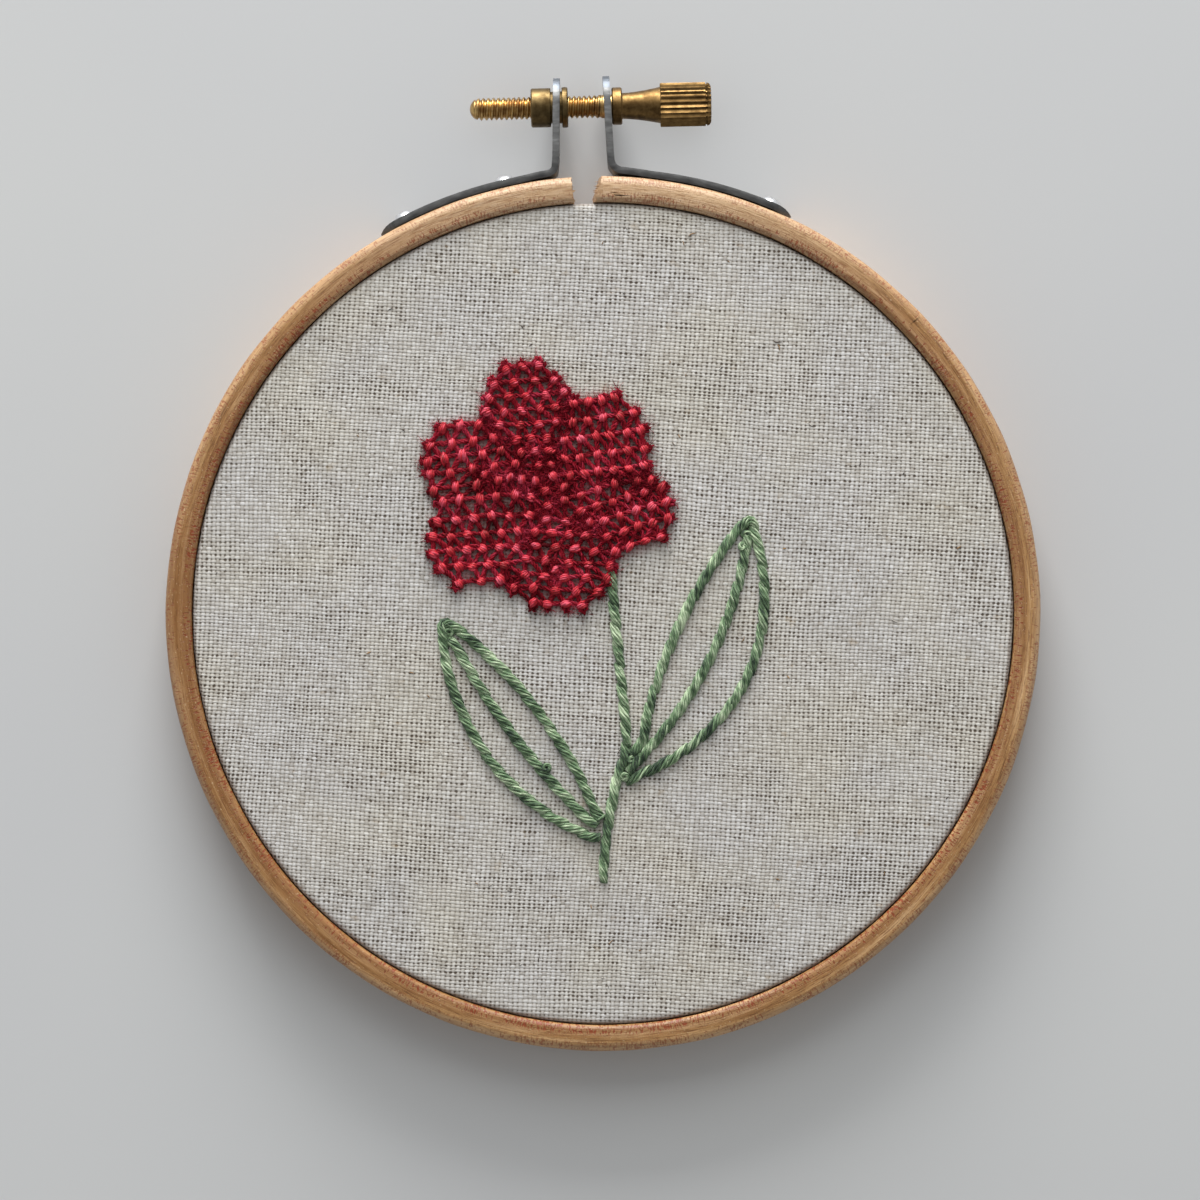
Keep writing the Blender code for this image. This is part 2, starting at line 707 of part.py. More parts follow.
def main():
    clear_scene()
    beech = material("beech", (0.56, 0.36, 0.19), 0.55)
    linen = material("linen", (0.55, 0.52, 0.47), 0.9)
    steel = material("dark_steel", (0.09, 0.1, 0.1), 0.45, metallic=0.8)
    brass = material("brass", (0.62, 0.42, 0.15), 0.3, metallic=1.0)
    aluminium = material("aluminium", (0.75, 0.76, 0.77), 0.35, metallic=1.0)
    red_thread = material("red_thread", (0.42, 0.01, 0.03), 0.7)
    green_thread = material("green_thread", (0.11, 0.21, 0.12), 0.7)

    rings = empty("rings_centre", (0, RINGS_Y, 0))
    clasp = empty("clasp", (0, 0, 0), CLASP_TURN, parent=rings)
    between_ears = Matrix.Rotation(CLASP_TURN, 3, "Z") @ Vector((0, SCREW_FROM_CENTRE, CLASP_Z))
    screw_axis = empty("screw_axis", between_ears, SCREW_TILT, parent=rings)

    add_outer_ring(beech, clasp)
    add_inner_ring(beech, rings)
    add_linen(linen, rings)

    add_strip("left_strip", STRIPS["left"], NUT_HOLE_RADIUS, steel, clasp, screw_axis)
    add_strip("right_strip", STRIPS["right"], SHANK_HOLE_RADIUS, steel, clasp, screw_axis)
    for name, strip in STRIPS.items():
        for number, degrees in enumerate(strip["rivets"], start=1):
            add_rivet(f"{name}_rivet_{number}", strip["side"] * math.radians(degrees), aluminium, clasp)
    add_nut(brass, screw_axis)
    add_thumbscrew(brass, screw_axis)

    section = rope_section()
    add_flower(red_thread, rings)
    add_rope("stem", [Vector(point) * MM for point in STEM], section, green_thread, rings)
    for leaf in LEAVES:
        add_leaf(leaf, section, green_thread, rings)


main()
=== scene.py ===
from math import atan2, ceil, copysign, cos, degrees, hypot, pi, radians, sin, sqrt, tan
from random import Random

import bmesh
import bpy
from mathutils import Matrix, Vector, noise


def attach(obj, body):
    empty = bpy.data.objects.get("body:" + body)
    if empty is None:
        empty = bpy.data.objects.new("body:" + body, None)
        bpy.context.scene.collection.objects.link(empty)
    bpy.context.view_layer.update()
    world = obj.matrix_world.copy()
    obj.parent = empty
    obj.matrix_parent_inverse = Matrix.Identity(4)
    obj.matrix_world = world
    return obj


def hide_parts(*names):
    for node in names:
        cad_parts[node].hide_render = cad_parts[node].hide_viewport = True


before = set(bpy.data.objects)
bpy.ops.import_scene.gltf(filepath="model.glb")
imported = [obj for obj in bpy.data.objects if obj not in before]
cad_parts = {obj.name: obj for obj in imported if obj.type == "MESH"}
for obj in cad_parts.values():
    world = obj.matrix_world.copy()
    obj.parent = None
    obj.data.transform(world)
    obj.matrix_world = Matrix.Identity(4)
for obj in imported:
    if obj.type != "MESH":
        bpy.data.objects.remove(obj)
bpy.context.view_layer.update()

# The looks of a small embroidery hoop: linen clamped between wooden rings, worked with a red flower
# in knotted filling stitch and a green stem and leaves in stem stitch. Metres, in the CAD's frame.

MM = 0.001
FULL_TURN = 2 * pi
DRAWS = Random(7)
draw = DRAWS.uniform

# Sizes that the CAD has too
RINGS_Y = -6.45016 * MM
OUTER_RADIUS = 54.8 * MM
SOCKET_RADIUS = 51.5 * MM
HOOP_DEPTH = 8.0 * MM
RING_MIDDLE = (OUTER_RADIUS + SOCKET_RADIUS) / 2
LINEN_TOP = 7.4 * MM
INNER_RADIUS = 49.9 * MM
INNER_WALL = 3.6 * MM
INNER_DEPTH = 6.1 * MM
SPLIT_WIDTH = 3.0 * MM
GAP = 0.3 * MM

CLASP_TURN = radians(2.5)
CLASP_Z = 4.0 * MM
STRIP_THICKNESS = 0.95 * MM
STRIP_WIDTH = 6.4 * MM
STRIP_REACH = radians(27.7)
EAR_TOP = 67.6 * MM
# The left ear's hole takes the nut's neck, the right ear's the screw. Rivets are in degrees from the split.
STRIPS = {
    "left": {
        "side": -1, "foot_x": 3.55 * MM, "top_x": 2.9 * MM, "bend": 1.0 * MM, "hole": 2.25 * MM,
        "rivets": (10.4, 24.2),
    },
    "right": {
        "side": 1, "foot_x": 3.5 * MM, "top_x": 3.3 * MM, "bend": 1.5 * MM, "hole": 1.8 * MM,
        "rivets": (24.8,),
    },
}
RIVET_RADIUS = 1.35 * MM

SCREW_FROM_CENTRE = 63.9 * MM
SCREW_TILT = radians(1.35)
TIP_X = -14.0 * MM
THREAD_END_X = 1.5 * MM
THREAD_PITCH = 0.635 * MM
THREAD_RADIUS = 1.42 * MM
THREAD_DEPTH = 0.3 * MM
SHANK_RADIUS = 1.5 * MM
COLLAR_RADIUS = 2.35 * MM
COLLAR_LENGTH = 1.05 * MM
NECK_LENGTH = 4.8 * MM
KNURL_LENGTH = 6.4 * MM
KNURL_RADIUS = 2.75 * MM
KNURL_DEPTH = 0.26 * MM
KNURL_RIDGES = 25
NUT_RADIUS = 2.45 * MM
NUT_BODY_LENGTH = 2.25 * MM
NUT_FLANGE_LENGTH = 0.5 * MM
NUT_BORE_RADIUS = 1.68 * MM
NUT_NECK_RADIUS = 2.0 * MM
# The nut and the screw's collar lie this much nearer to the ears than the CAD's clearance lets them,
# and the strips and rivets this much nearer to the ring.
SNUG = 0.24 * MM
HUG = 0.25 * MM
# The strips are a little thinner than the CAD's, so the rivets' heads stand out more.
SHEET = 0.86 * MM
RIVET_HEIGHT = 0.74 * MM
# Each end of the outer ring is this much shorter than the CAD's.
SNAPPED_OFF = 0.12 * MM

# The linen's threads, counted on the cloth: about 17 upright and 21 level ones to the centimetre,
# and the cloth was clamped a little askew
WARP_PITCH = 0.58 * MM
WEFT_PITCH = 0.48 * MM
WEAVE_TURN = radians(-3.3)
LINEN_THICKNESS = 0.35 * MM
UNDERSIDE = LINEN_TOP - LINEN_THICKNESS
CRIMP = 0.025 * MM
# The cloth is squeezed against the outer ring's socket, and its cut edge hangs between the rings.
LINEN_RADIUS = SOCKET_RADIUS - 0.1 * MM
LINEN_EDGE_RADIUS = 0.45 * MM
LINEN_CUT_EDGE_Z = 1.5 * MM
LINEN_REACH = LINEN_RADIUS + LINEN_TOP - LINEN_CUT_EDGE_Z - LINEN_EDGE_RADIUS * (2 - pi / 2)

# Places in the motif are in mm from the rings' centre.
FLOWER_CENTRE = Vector((-7.25, 15.45)) * MM
# A petal runs from one notch of the outline to the next. Its rows of knots have one slope; the first
# lies "first" mm from the flower's centre and the others "apart", each way. Each knot leans its own way.
PETAL_COLUMNS = ("from", "notch", "tip", "slope", "first", "apart", "along", "lean", "long", "broad")
PETALS = [
    dict(zip(PETAL_COLUMNS, row))
    for row in (
        (13, 13.3, 15.2, 7, 1.4, 2.22, 2.0, 112, 1.3, 1.02),
        (75, 12.1, 16.6, 4, 1.2, 1.78, 2.2, 22, 1.25, 1.04),
        (129, 12.2, 15.9, 7, -0.1, 1.85, 2.5, 84, 1.5, 1.0),
        (189, 13.4, 16.8, 4, -2.9, 2.0, 2.15, 150, 1.3, 1.02),
        (248, 13.0, 15.8, -4, -5.4, 1.75, 2.45, 24, 1.4, 0.98),
        (316, 12.5, 16.4, 17, -1.9, 2.0, 2.2, 62, 1.4, 0.98),
    )
]
KNOT_STRAND = 0.35 * MM
# Two knots' middles are at least this far apart.
KNOT_ROOM = 1.5 * MM
STEM = (
    (1.1, 5.3), (1.15, 3.6), (1.7, -2.6), (2.4, -9.6),
    (2.9, -16.5), (1.8, -20.6), (0.6, -26.7), (-0.1, -33.6),
)
# Each line of a leaf: its foot on the stem, where its bow starts, and how far it bows to the right
LEAVES = {
    "right_leaf": {
        "tip": (18.2, 10.9),
        "left": ((3.5, -17.5), (4.9, -16.0), -1.9),
        "middle": ((3.1, -19.7), (4.6, -18.0), 2.7),
        "right": ((2.9, -20.9), (3.9, -20.5), 7.3),
        "knots": ((17.9, 9.9), (17.5, 8.4), (2.7, -20.4), (3.6, -18.3)),
    },
    "left_leaf": {
        "tip": (-19.5, -1.9),
        "left": ((-0.5, -28.1), (-1.8, -27.8), -4.5),
        "middle": ((-0.9, -26.6), (-1.6, -26.0), -1.3),
        "right": ((-0.3, -25.6), (-1.1, -24.4), 1.9),
        "knots": ((-19.2, -2.3), (-7.1, -19.3)),
    },
}
LEAF_TIP_RADIUS = 0.75 * MM
LEAF_FULLNESS = 0.8
MIDRIB_SPAN = (0.03, 0.965)
STITCH_LENGTH = 4.3 * MM
STITCH_ADVANCE = 2.5 * MM
PLY_WIDTH = 0.38 * MM
PLIES = 6
# The thread's own twist: one turn in this length slants its plies by 25 degrees.
THREAD_TWIST = 5.4 * MM
ROUTE_STEP = 0.2 * MM

RINGS = Matrix.Translation((0, RINGS_Y, 0))
CLASP = RINGS @ Matrix.Rotation(CLASP_TURN, 4, "Z")
SCREW = (
    RINGS
    @ Matrix.Translation(Matrix.Rotation(CLASP_TURN, 3, "Z") @ Vector((0, SCREW_FROM_CENTRE, CLASP_Z)))
    @ Matrix.Rotation(SCREW_TILT, 4, "Z")
)


# ------------------------------------------------------------------ materials


def linear(hex_colour):
    """An sRGB hex colour as the linear colour that a socket takes."""
    shares = [int(hex_colour[i : i + 2], 16) / 255 for i in (1, 3, 5)]
    return (*[s / 12.92 if s <= 0.04045 else ((s + 0.055) / 1.055) ** 2.4 for s in shares], 1.0)


def new_material(name):
    made = bpy.data.materials.new(name)
    made.use_nodes = True
    return made


def add(material, kind, *inputs, stops=(), **named):
    """Adds a node. Its kind may end in an operation, as in "Math SINE", and its inputs fill the sockets in
    turn. A name with a capital is a socket's, and any other a setting's. A node stands for its first output,
    and a hex for its colour."""
    kind, _, operation = kind.partition(" ")
    made = material.node_tree.nodes.new("ShaderNode" + kind)
    if operation:
        made.operation = operation
    for i, (place, colour) in enumerate(stops):
        ramp = made.color_ramp.elements
        stop = ramp[i] if i < len(ramp) else ramp.new(place)
        stop.position = place
        stop.color = linear(colour)
    sockets = dict(enumerate(inputs))
    for name, value in named.items():
        if name[0].isupper():
            sockets[name] = value
        else:
            setattr(made, name, value)
    for socket, value in sockets.items():
        if isinstance(value, bpy.types.Node):
            value = value.outputs[0]
        if isinstance(value, bpy.types.NodeSocket):
            material.node_tree.links.new(value, made.inputs[socket])
        else:
            made.inputs[socket].default_value = linear(value) if isinstance(value, str) else value
    return made


def dress(material, colour, roughness, height=None, relief=0.0, **constants):
    """Joins colour, roughness and relief, in metres, to the surface. Constants go in sockets of their own."""
    surface = material.node_tree.nodes["Principled BSDF"]
    for name, value in constants.items():
        surface.inputs[name.replace("_", " ")].default_value = value
    joined = {"Base Color": colour, "Roughness": roughness}
    if height is not None:
        joined["Normal"] = add(material, "Bump", Height=height, Distance=relief)
    for name, node in joined.items():
        material.node_tree.links.new(node.outputs[0], surface.inputs[name])
    return material


def round_the_ring(m):
    """(place along the ring, place across its wall and through its depth) in mm, split at the clasp."""
    place = add(m, "TexCoord").outputs["Object"]
    centred = add(m, "VectorMath", place, (0, -RINGS_Y, 0))
    level = add(m, "VectorMath MULTIPLY", centred, (1, 1, 0))
    radius = add(m, "VectorMath LENGTH", level).outputs["Value"]
    parts = add(m, "SeparateXYZ", centred)
    far_side = add(m, "Math MULTIPLY", parts.outputs["Y"], -1.0)
    turn = add(m, "Math ARCTAN2", parts.outputs["X"], far_side)
    along = add(m, "Math MULTIPLY", turn, RING_MIDDLE)
    metres = add(m, "CombineXYZ", along, radius, parts.outputs["Z"])
    return add(m, "VectorMath SCALE", metres, Scale=1 / MM)


def beech_wood():
    """Bent beech, planed and unvarnished: tan wood with fine grain along the ring, and on its
    rounded edges many thin red-brown ray flecks across it. It has a faint worn gloss."""
    m = new_material("planed_beech")
    place = round_the_ring(m)
    grain = {}
    for name, stretch, detail, roughness in (
        # Growth bands about 1 mm wide, and pores and fibres about 0.1 mm wide
        ("bands", (0.06, 1.3, 1.0), 3.0, 0.6),
        ("fibres", (0.5, 7.0, 7.0), 4.0, 0.65),
        # Ray flecks about 0.2 mm along the ring and 0.6 mm across it
        ("flecks", (4.6, 1.5, 1.5), 2.0, 0.55),
        ("pale_pores", (2.6, 4.5, 4.5), 1.0, 0.5),
    ):
        drawn_out = add(m, "VectorMath MULTIPLY", place, stretch)
        grain[name] = add(m, "TexNoise", Vector=drawn_out, Scale=1.0, Detail=detail, Roughness=roughness)
    fibres = grain["fibres"]
    honey = add(m, "ValToRGB", grain["bands"], stops=[(0.3, "#84592c"), (0.5, "#b08553"), (0.7, "#d4ad7e")])
    streaks = add(m, "ValToRGB", fibres, stops=[(0.36, "#8d6c4a"), (0.5, "#ffffff"), (0.74, "#fff8ee")])
    colour = add(m, "MixRGB", 0.75, honey, streaks, blend_type="MULTIPLY")
    spot = add(m, "SeparateXYZ", place)
    from_middle = add(m, "Math SUBTRACT", spot.outputs["Y"], RING_MIDDLE / MM)
    off_ridge = add(m, "Math ABSOLUTE", from_middle)
    to_clasp = add(m, "Math ABSOLUTE", spot.outputs["X"])
    # The flecks gather on the rounded edges, most on the inner one, and are fainter by the clasp, along with
    # the painted light there.
    on_edges = add(m, "MapRange", off_ridge, 0.35, 0.8, 0.12, 0.6)
    inside_more = add(m, "MapRange", from_middle, -0.6, -0.2, 0.28, 0.0)
    where = add(m, "Math", on_edges, inside_more)
    patches = add(m, "TexNoise", Vector=place, Scale=0.16, Detail=2.0)
    patchy = add(m, "MapRange", patches, 0.35, 0.65, 0.6, 0.5)
    above = add(m, "Math SUBTRACT", grain["flecks"], patchy)
    fleck_shape = add(m, "MapRange", above, 0.0, 0.035)
    fainter = add(m, "MapRange", to_clasp, 124.0, 154.0, 1.0, 0.7)
    fleck_here = add(m, "Math MULTIPLY", fleck_shape, fainter)
    fleck_share = add(m, "Math MULTIPLY", where, fleck_here)
    # The wall's inner part is redder and darker, partly the wood's colour and partly painted shade, up to a
    # thin light edge by the linen. Its outer edge is painted paler: a painted highlight.
    inner_side = add(m, "MapRange", from_middle, -1.1, 0.4, 0.55, 0.0)
    light_edge = add(m, "MapRange", from_middle, -1.55, -1.2, 0.2, 1.0)
    red_and_shade_share = add(m, "Math MULTIPLY", inner_side, light_edge)
    painted_outer_highlight = add(m, "MapRange", from_middle, 0.4, 1.2, 0.0, 0.4)
    # The ring is darkest at its lower left. By the clasp, which is 167 mm along it, it is painted pale and
    # pink-tinged: painted light where the light falls brightest on the ring.
    to_left = add(m, "MapRange", spot.outputs["X"], -90.0, -20.0, 0.6, 0.0)
    below_middle = add(m, "MapRange", spot.outputs["X"], -104.0, -86.0, 0.15, 1.0)
    left_share = add(m, "Math MULTIPLY", to_left, below_middle)
    painted_clasp_light = add(m, "MapRange", to_clasp, 124.0, 154.0, 0.0, 0.5)
    painted_light_tone = add(m, "ValToRGB", fibres, stops=[(0.36, "#b08660"), (0.5, "#d4b692"), (0.7, "#ead4b9")])
    pore_share = add(m, "MapRange", grain["pale_pores"], 0.66, 0.74, 0.0, 0.5)
    for share, tone in (
        (red_and_shade_share, "#8a5a34"), (painted_outer_highlight, "#cfa981"), (left_share, "#80501f"),
        (painted_clasp_light, painted_light_tone), (fleck_share, "#883814"), (pore_share, "#d2b48e"),
    ):
        colour = add(m, "MixRGB", share, colour, tone)
    roughness = add(m, "MapRange", fibres, 0, 1, 0.33, 0.52)
    height = add(m, "Math SUBTRACT", fibres, fleck_share)
    return dress(m, colour, roughness, height, 0.05 * MM, Specular_IOR_Level=0.5)


def linen_cloth():
    """Unbleached linen in plain weave: pale uneven threads with small dark gaps at their corners, dull
    all over. The map on the cloth counts its threads, so the pattern's threads lie on the mesh's."""
    m = new_material("plain_weave_linen")
    threads = add(m, "UVMap", uv_map="threads")
    # Handspun threads wander a little, so the gaps between them have no two shapes alike.
    wander = add(m, "TexNoise", Vector=threads, Scale=0.85, Detail=2.0).outputs["Color"]
    wavy = add(m, "VectorMath MULTIPLY_ADD", wander, (0.36, 0.36, 0), threads)
    number = add(m, "SeparateXYZ", add(m, "VectorMath", wavy, (-0.18, -0.18, 0)))
    own = {}
    for name in ("X", "Y"):
        at = number.outputs[name]
        whole = add(m, "Math ROUND", at)
        aside = add(m, "Math SUBTRACT", at, whole)
        off = add(m, "Math ABSOLUTE", aside)
        own[name] = {
            "at": at, "whole": whole, "aside": aside, "gap": add(m, "Math FLOOR", at),
            "to_gap": add(m, "Math SUBTRACT", 0.5, off),
        }
    heights, tones, gap_rows = {}, {}, {}
    for name, other, wave, slub, slub_layer, gap_layer in (
        ("X", "Y", -0.35, 0.26, 3.0, 21.0), ("Y", "X", 0.35, 0.3, 9.0, 15.0),
    ):
        thread, crossed = own[name], own[other]["at"]
        # Each thread is rounded across and waves over and under the ones that it crosses.
        rounded = add(m, "Math COSINE", add(m, "Math MULTIPLY", thread["aside"], pi))
        passed = add(m, "Math SUBTRACT", crossed, thread["whole"])
        crimp = add(m, "Math COSINE", add(m, "Math MULTIPLY", passed, pi))
        body = add(m, "Math MULTIPLY", rounded, 0.65)
        heights[name] = add(m, "Math MULTIPLY_ADD", crimp, wave, body)
        # Slubs: a thread's shade changes along it, the level threads' more, and from thread to thread.
        # How open the gaps are drifts along each row of them.
        for found, count, apart, change, layer, detail, roughness in (
            (tones, thread["whole"], 7.31, slub, slub_layer, 2.0, 0.6),
            (gap_rows, thread["gap"], 5.77, 0.06, gap_layer, 1.0, 0.5),
        ):
            numbered = add(m, "Math MULTIPLY", count, apart)
            along = add(m, "Math MULTIPLY", crossed, change)
            lane = add(m, "CombineXYZ", numbered, along, layer)
            found[name] = add(m, "TexNoise", Vector=lane, Scale=1.0, Detail=detail, Roughness=roughness)
    # The upright threads lie deeper, and their tone is lowered a little: painted shade.
    tones["X"] = add(m, "Math SUBTRACT", tones["X"], 0.03)
    height = add(m, "Math MAXIMUM", heights["X"], heights["Y"])
    level_on_top = add(m, "Math GREATER_THAN", heights["Y"], heights["X"])
    tone = add(m, "MixRGB", level_on_top, tones["X"], tones["Y"])
    yarn_colour = add(m, "ValToRGB", tone, stops=[
        (0.28, "#bfbab2"), (0.45, "#d6d3cd"), (0.58, "#e2e0db"), (0.78, "#f4f3f0"),
    ])
    # The raised middle of each thread is lightest; its sides fall into the weave's shade.
    lit = add(m, "MapRange", height, 0.1, 0.9)
    shaded = add(m, "MixRGB", 1.0, yarn_colour, "#b9b2a8", blend_type="MULTIPLY")
    colour = add(m, "MixRGB", lit, shaded, yarn_colour)
    # A gap is small at the corner of four threads and wider where the weave is looser. It is painted dark: a
    # painted shadow of the hollow seen through it.
    corner = add(m, "CombineXYZ", own["X"]["to_gap"], own["Y"]["to_gap"])
    from_corner = add(m, "VectorMath LENGTH", corner).outputs["Value"]
    gap_number = add(m, "CombineXYZ", own["X"]["gap"], own["Y"]["gap"])
    each_gap = add(m, "TexWhiteNoise", Vector=gap_number, noise_dimensions="2D").outputs["Value"]
    loose = add(m, "TexNoise", Vector=threads, Scale=0.05, Detail=3.0, Roughness=0.6)
    for part, weight in ((gap_rows["Y"], 0.85), (gap_rows["X"], 0.25), (each_gap, 0.34)):
        loose = add(m, "Math MULTIPLY_ADD", part, weight, loose)
    openness = add(m, "MapRange", loose, 0.98, 1.5)
    reach = add(m, "MapRange", openness, 0, 1, 0.14, 0.4)
    gap_shape = add(m, "MapRange", add(m, "Math SUBTRACT", reach, from_corner), 0.0, 0.14)
    gap_shadow_depth = add(m, "MapRange", openness, 0, 1, 0.4, 0.9)
    painted_gap_shadow = add(m, "Math MULTIPLY", gap_shape, gap_shadow_depth)
    straw = add(m, "TexNoise", Vector=threads, Scale=0.23, Detail=2.0)
    straw_share = add(m, "MapRange", straw, 0.66, 0.76, 0.0, 0.35)
    haze = add(m, "Attribute", attribute_name="red_fluff").outputs["Fac"]
    radius = add(m, "SeparateXYZ", round_the_ring(m)).outputs["Y"]
    painted_turn_shade = add(m, "MapRange", radius, 50.9, 51.3, 0.0, 0.6)
    # Over the gaps' painted shadow come straw-coloured bits of the raw flax, red fluff that clings under the
    # flower, and painted shade where the cloth turns down beside the outer ring.
    for share, tone in (
        (painted_gap_shadow, "#4a3d30"), (straw_share, "#ab9474"), (haze, "#8a3c42"), (painted_turn_shade, "#6a5d54"),
    ):
        colour = add(m, "MixRGB", share, colour, tone)
    spread = add(m, "TexNoise", Vector=threads, Scale=0.035, Detail=2.0)
    warmth = add(m, "ValToRGB", spread, stops=[(0.35, "#f4f2ed"), (0.6, "#f2f2f4")])
    colour = add(m, "MixRGB", 1.0, colour, warmth, blend_type="MULTIPLY")
    roughness = add(m, "MapRange", height, 0, 1, 0.95, 0.8)
    return dress(m, colour, roughness, height, 0.07 * MM, Specular_IOR_Level=0.2, Sheen_Weight=0.1)


def cotton_floss(name, dark, main, light, turns, gloss, sheen):
    """Stranded cotton: a soft lustre, streaks of fibres along each strand, shade that drifts over the
    work and differs from strand to strand, and the groove between its two twisted plies."""
    m = new_material(name)
    strand = add(m, "SeparateXYZ", add(m, "UVMap", uv_map="UVMap"))
    each = add(m, "NewGeometry").outputs["Random Per Island"]
    scaled = [
        add(m, "Math MULTIPLY", part, factor)
        for part, factor in ((strand.outputs["X"], 4.0), (strand.outputs["Y"], 9.0), (each, 40.0))
    ]
    streak_place = add(m, "CombineXYZ", *scaled)
    streaks = add(m, "TexNoise", Vector=streak_place, Scale=1.0, Detail=3.0, Roughness=0.65)
    twist = add(m, "Math MULTIPLY", strand.outputs["X"], FULL_TURN * turns)
    plies = add(m, "Math MULTIPLY_ADD", strand.outputs["Y"], 2 * FULL_TURN, twist)
    groove = add(m, "Math COSINE", plies)
    # Shade drifts over about 3 mm.
    place = add(m, "TexCoord").outputs["Object"]
    shade = add(m, "TexNoise", Vector=place, Scale=0.35 / MM, Detail=2.0)
    # The groove between the plies also darkens the colour a little: painted shade.
    for part, weight in ((each, 0.35), (streaks, 0.8), (groove, 0.1)):
        shade = add(m, "Math MULTIPLY_ADD", part, weight, shade)
    spread = add(m, "MapRange", shade, 0.7, 1.5)
    colour = add(m, "ValToRGB", spread, stops=[(0.1, dark), (0.5, main), (0.9, light)])
    roughness = add(m, "MapRange", streaks, 0, 1, 0.4, 0.7)
    height = add(m, "Math MULTIPLY_ADD", groove, 0.35, streaks)
    return dress(m, colour, roughness, height, 0.05 * MM, Specular_IOR_Level=gloss, Sheen_Weight=sheen)


def rolled_steel():
    """Dark rolled steel strip: grey with faint lengthwise mill marks, painted darker along the ring as a
    painted dark reflection, and tinted bluish at the ear tips as a painted reflection.
    """
    m = new_material("rolled_steel_strip")
    place = round_the_ring(m)
    # Mill marks about 0.2 mm wide
    drawn_out = add(m, "VectorMath MULTIPLY", place, (0.5, 2.0, 5.0))
    marks = add(m, "TexNoise", Vector=drawn_out, Scale=1.0, Detail=4.0, Roughness=0.65)
    stains = add(m, "TexNoise", Vector=place, Scale=0.7, Detail=2.0)
    both = add(m, "MixRGB", 0.35, marks, stains)
    colour = add(m, "ValToRGB", both, stops=[(0.3, "#5c5c5c"), (0.55, "#868685"), (0.75, "#a8a9a8")])
    radius = add(m, "SeparateXYZ", place).outputs["Y"]
    # Painted dark reflection along the ring, fading towards the ears.
    painted_dark_reflection = add(m, "MapRange", radius, 56.6, 59.5, 0.5, 0.0)
    # Painted reflection: a bluish tint at the ear tips.
    painted_tip_reflection = add(m, "MapRange", radius, 65.8, 66.1, 0.0, 0.6)
    for share, tone in ((painted_dark_reflection, "#383838"), (painted_tip_reflection, "#5f6976")):
        colour = add(m, "MixRGB", share, colour, tone)
    roughness = add(m, "MapRange", marks, 0, 1, 0.38, 0.6)
    return dress(m, colour, roughness, marks, 0.02 * MM, Metallic=1.0)


def turned_metal(name, dark, light, smooth, rough):
    """Lathe-turned metal: fine rings round the screw and a slight tarnish in patches."""
    m = new_material(name)
    place = add(m, "TexCoord").outputs["Object"]
    in_mm = add(m, "VectorMath SCALE", place, Scale=1 / MM)
    # Tool marks about 0.15 mm apart along the screw
    drawn_out = add(m, "VectorMath MULTIPLY", in_mm, (7.0, 0.4, 0.4))
    rings = add(m, "TexNoise", Vector=drawn_out, Scale=1.0, Detail=2.0)
    tarnish = add(m, "TexNoise", Vector=in_mm, Scale=0.8, Detail=4.0, Roughness=0.65)
    colour = add(m, "ValToRGB", tarnish, stops=[(0.35, dark), (0.62, light)])
    roughness = add(m, "MapRange", tarnish, 0.3, 0.7, rough, smooth)
    return dress(m, colour, roughness, rings, 0.015 * MM, Metallic=1.0)


# ------------------------------------------------------------------ building


def in_scene(name, data):
    made = bpy.data.objects.new(name, data)
    bpy.context.scene.collection.objects.link(made)
    return made


def place_piece(name, mesh, material, replaced=(), body="hoop", sharp=None):
    """Puts a finished mesh in the scene, riding on a body and standing for its CAD nodes. Past an angle
    in degrees, its edges are crisp."""
    mesh.name = name
    mesh.materials.clear()
    mesh.materials.append(material)
    mesh.shade_smooth()
    if sharp:
        mesh.set_sharp_from_angle(angle=radians(sharp))
    made = in_scene(name, mesh)
    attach(made, body)
    if replaced:
        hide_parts(*replaced)
    return made


def as_mesh(bm, name="piece"):
    mesh = bpy.data.meshes.new(name)
    bm.to_mesh(mesh)
    bm.free()
    return mesh


def finished_mesh(bm):
    """Merges doubles and turns the faces outwards."""
    bmesh.ops.remove_doubles(bm, verts=bm.verts, dist=1e-7)
    bmesh.ops.recalc_face_normals(bm, faces=bm.faces)
    return as_mesh(bm)


def settled_mesh(obj, *cutters):
    """The object's mesh with its modifiers applied; the object and its cutters go."""
    seen = obj.evaluated_get(bpy.context.evaluated_depsgraph_get())
    mesh = bpy.data.meshes.new_from_object(seen)
    for spare in (obj, *cutters):
        bpy.data.objects.remove(spare)
    return mesh


def carve(blank, mesh):
    """Adds a modifier that cuts a mesh's shape out of a blank, and gives the cutter."""
    cutter = in_scene("cutter", mesh)
    cut = blank.modifiers.new("cut", "BOOLEAN")
    cut.operation = "DIFFERENCE"
    cut.solver = "EXACT"
    cut.object = cutter
    return cutter


def spun(profile, axis, steps, start=0.0, angle=FULL_TURN, bm=None):
    """A bmesh spun from (radius, place along the axis) about Z or X. A profile off the axis is closed."""
    bm = bm or bmesh.new()
    along_z = axis == "Z"
    corners = [bm.verts.new((r, 0, h) if along_z else (h, 0, r)) for r, h in profile]
    axle = Vector((0, 0, 1)) if along_z else Vector((1, 0, 0))
    edges = [bm.edges.new(pair) for pair in zip(corners, corners[1:])]
    if min(r for r, _ in profile) > 0:
        edges.append(bm.edges.new((corners[-1], corners[0])))
    bmesh.ops.rotate(bm, verts=corners, cent=(0, 0, 0), matrix=Matrix.Rotation(start, 3, axle))
    bmesh.ops.spin(
        bm, geom=corners + edges, cent=(0, 0, 0), axis=axle, angle=angle, steps=steps,
        use_merge=angle == FULL_TURN, use_duplicate=False,
    )
    bmesh.ops.remove_doubles(bm, verts=bm.verts, dist=1e-7)
    return bm


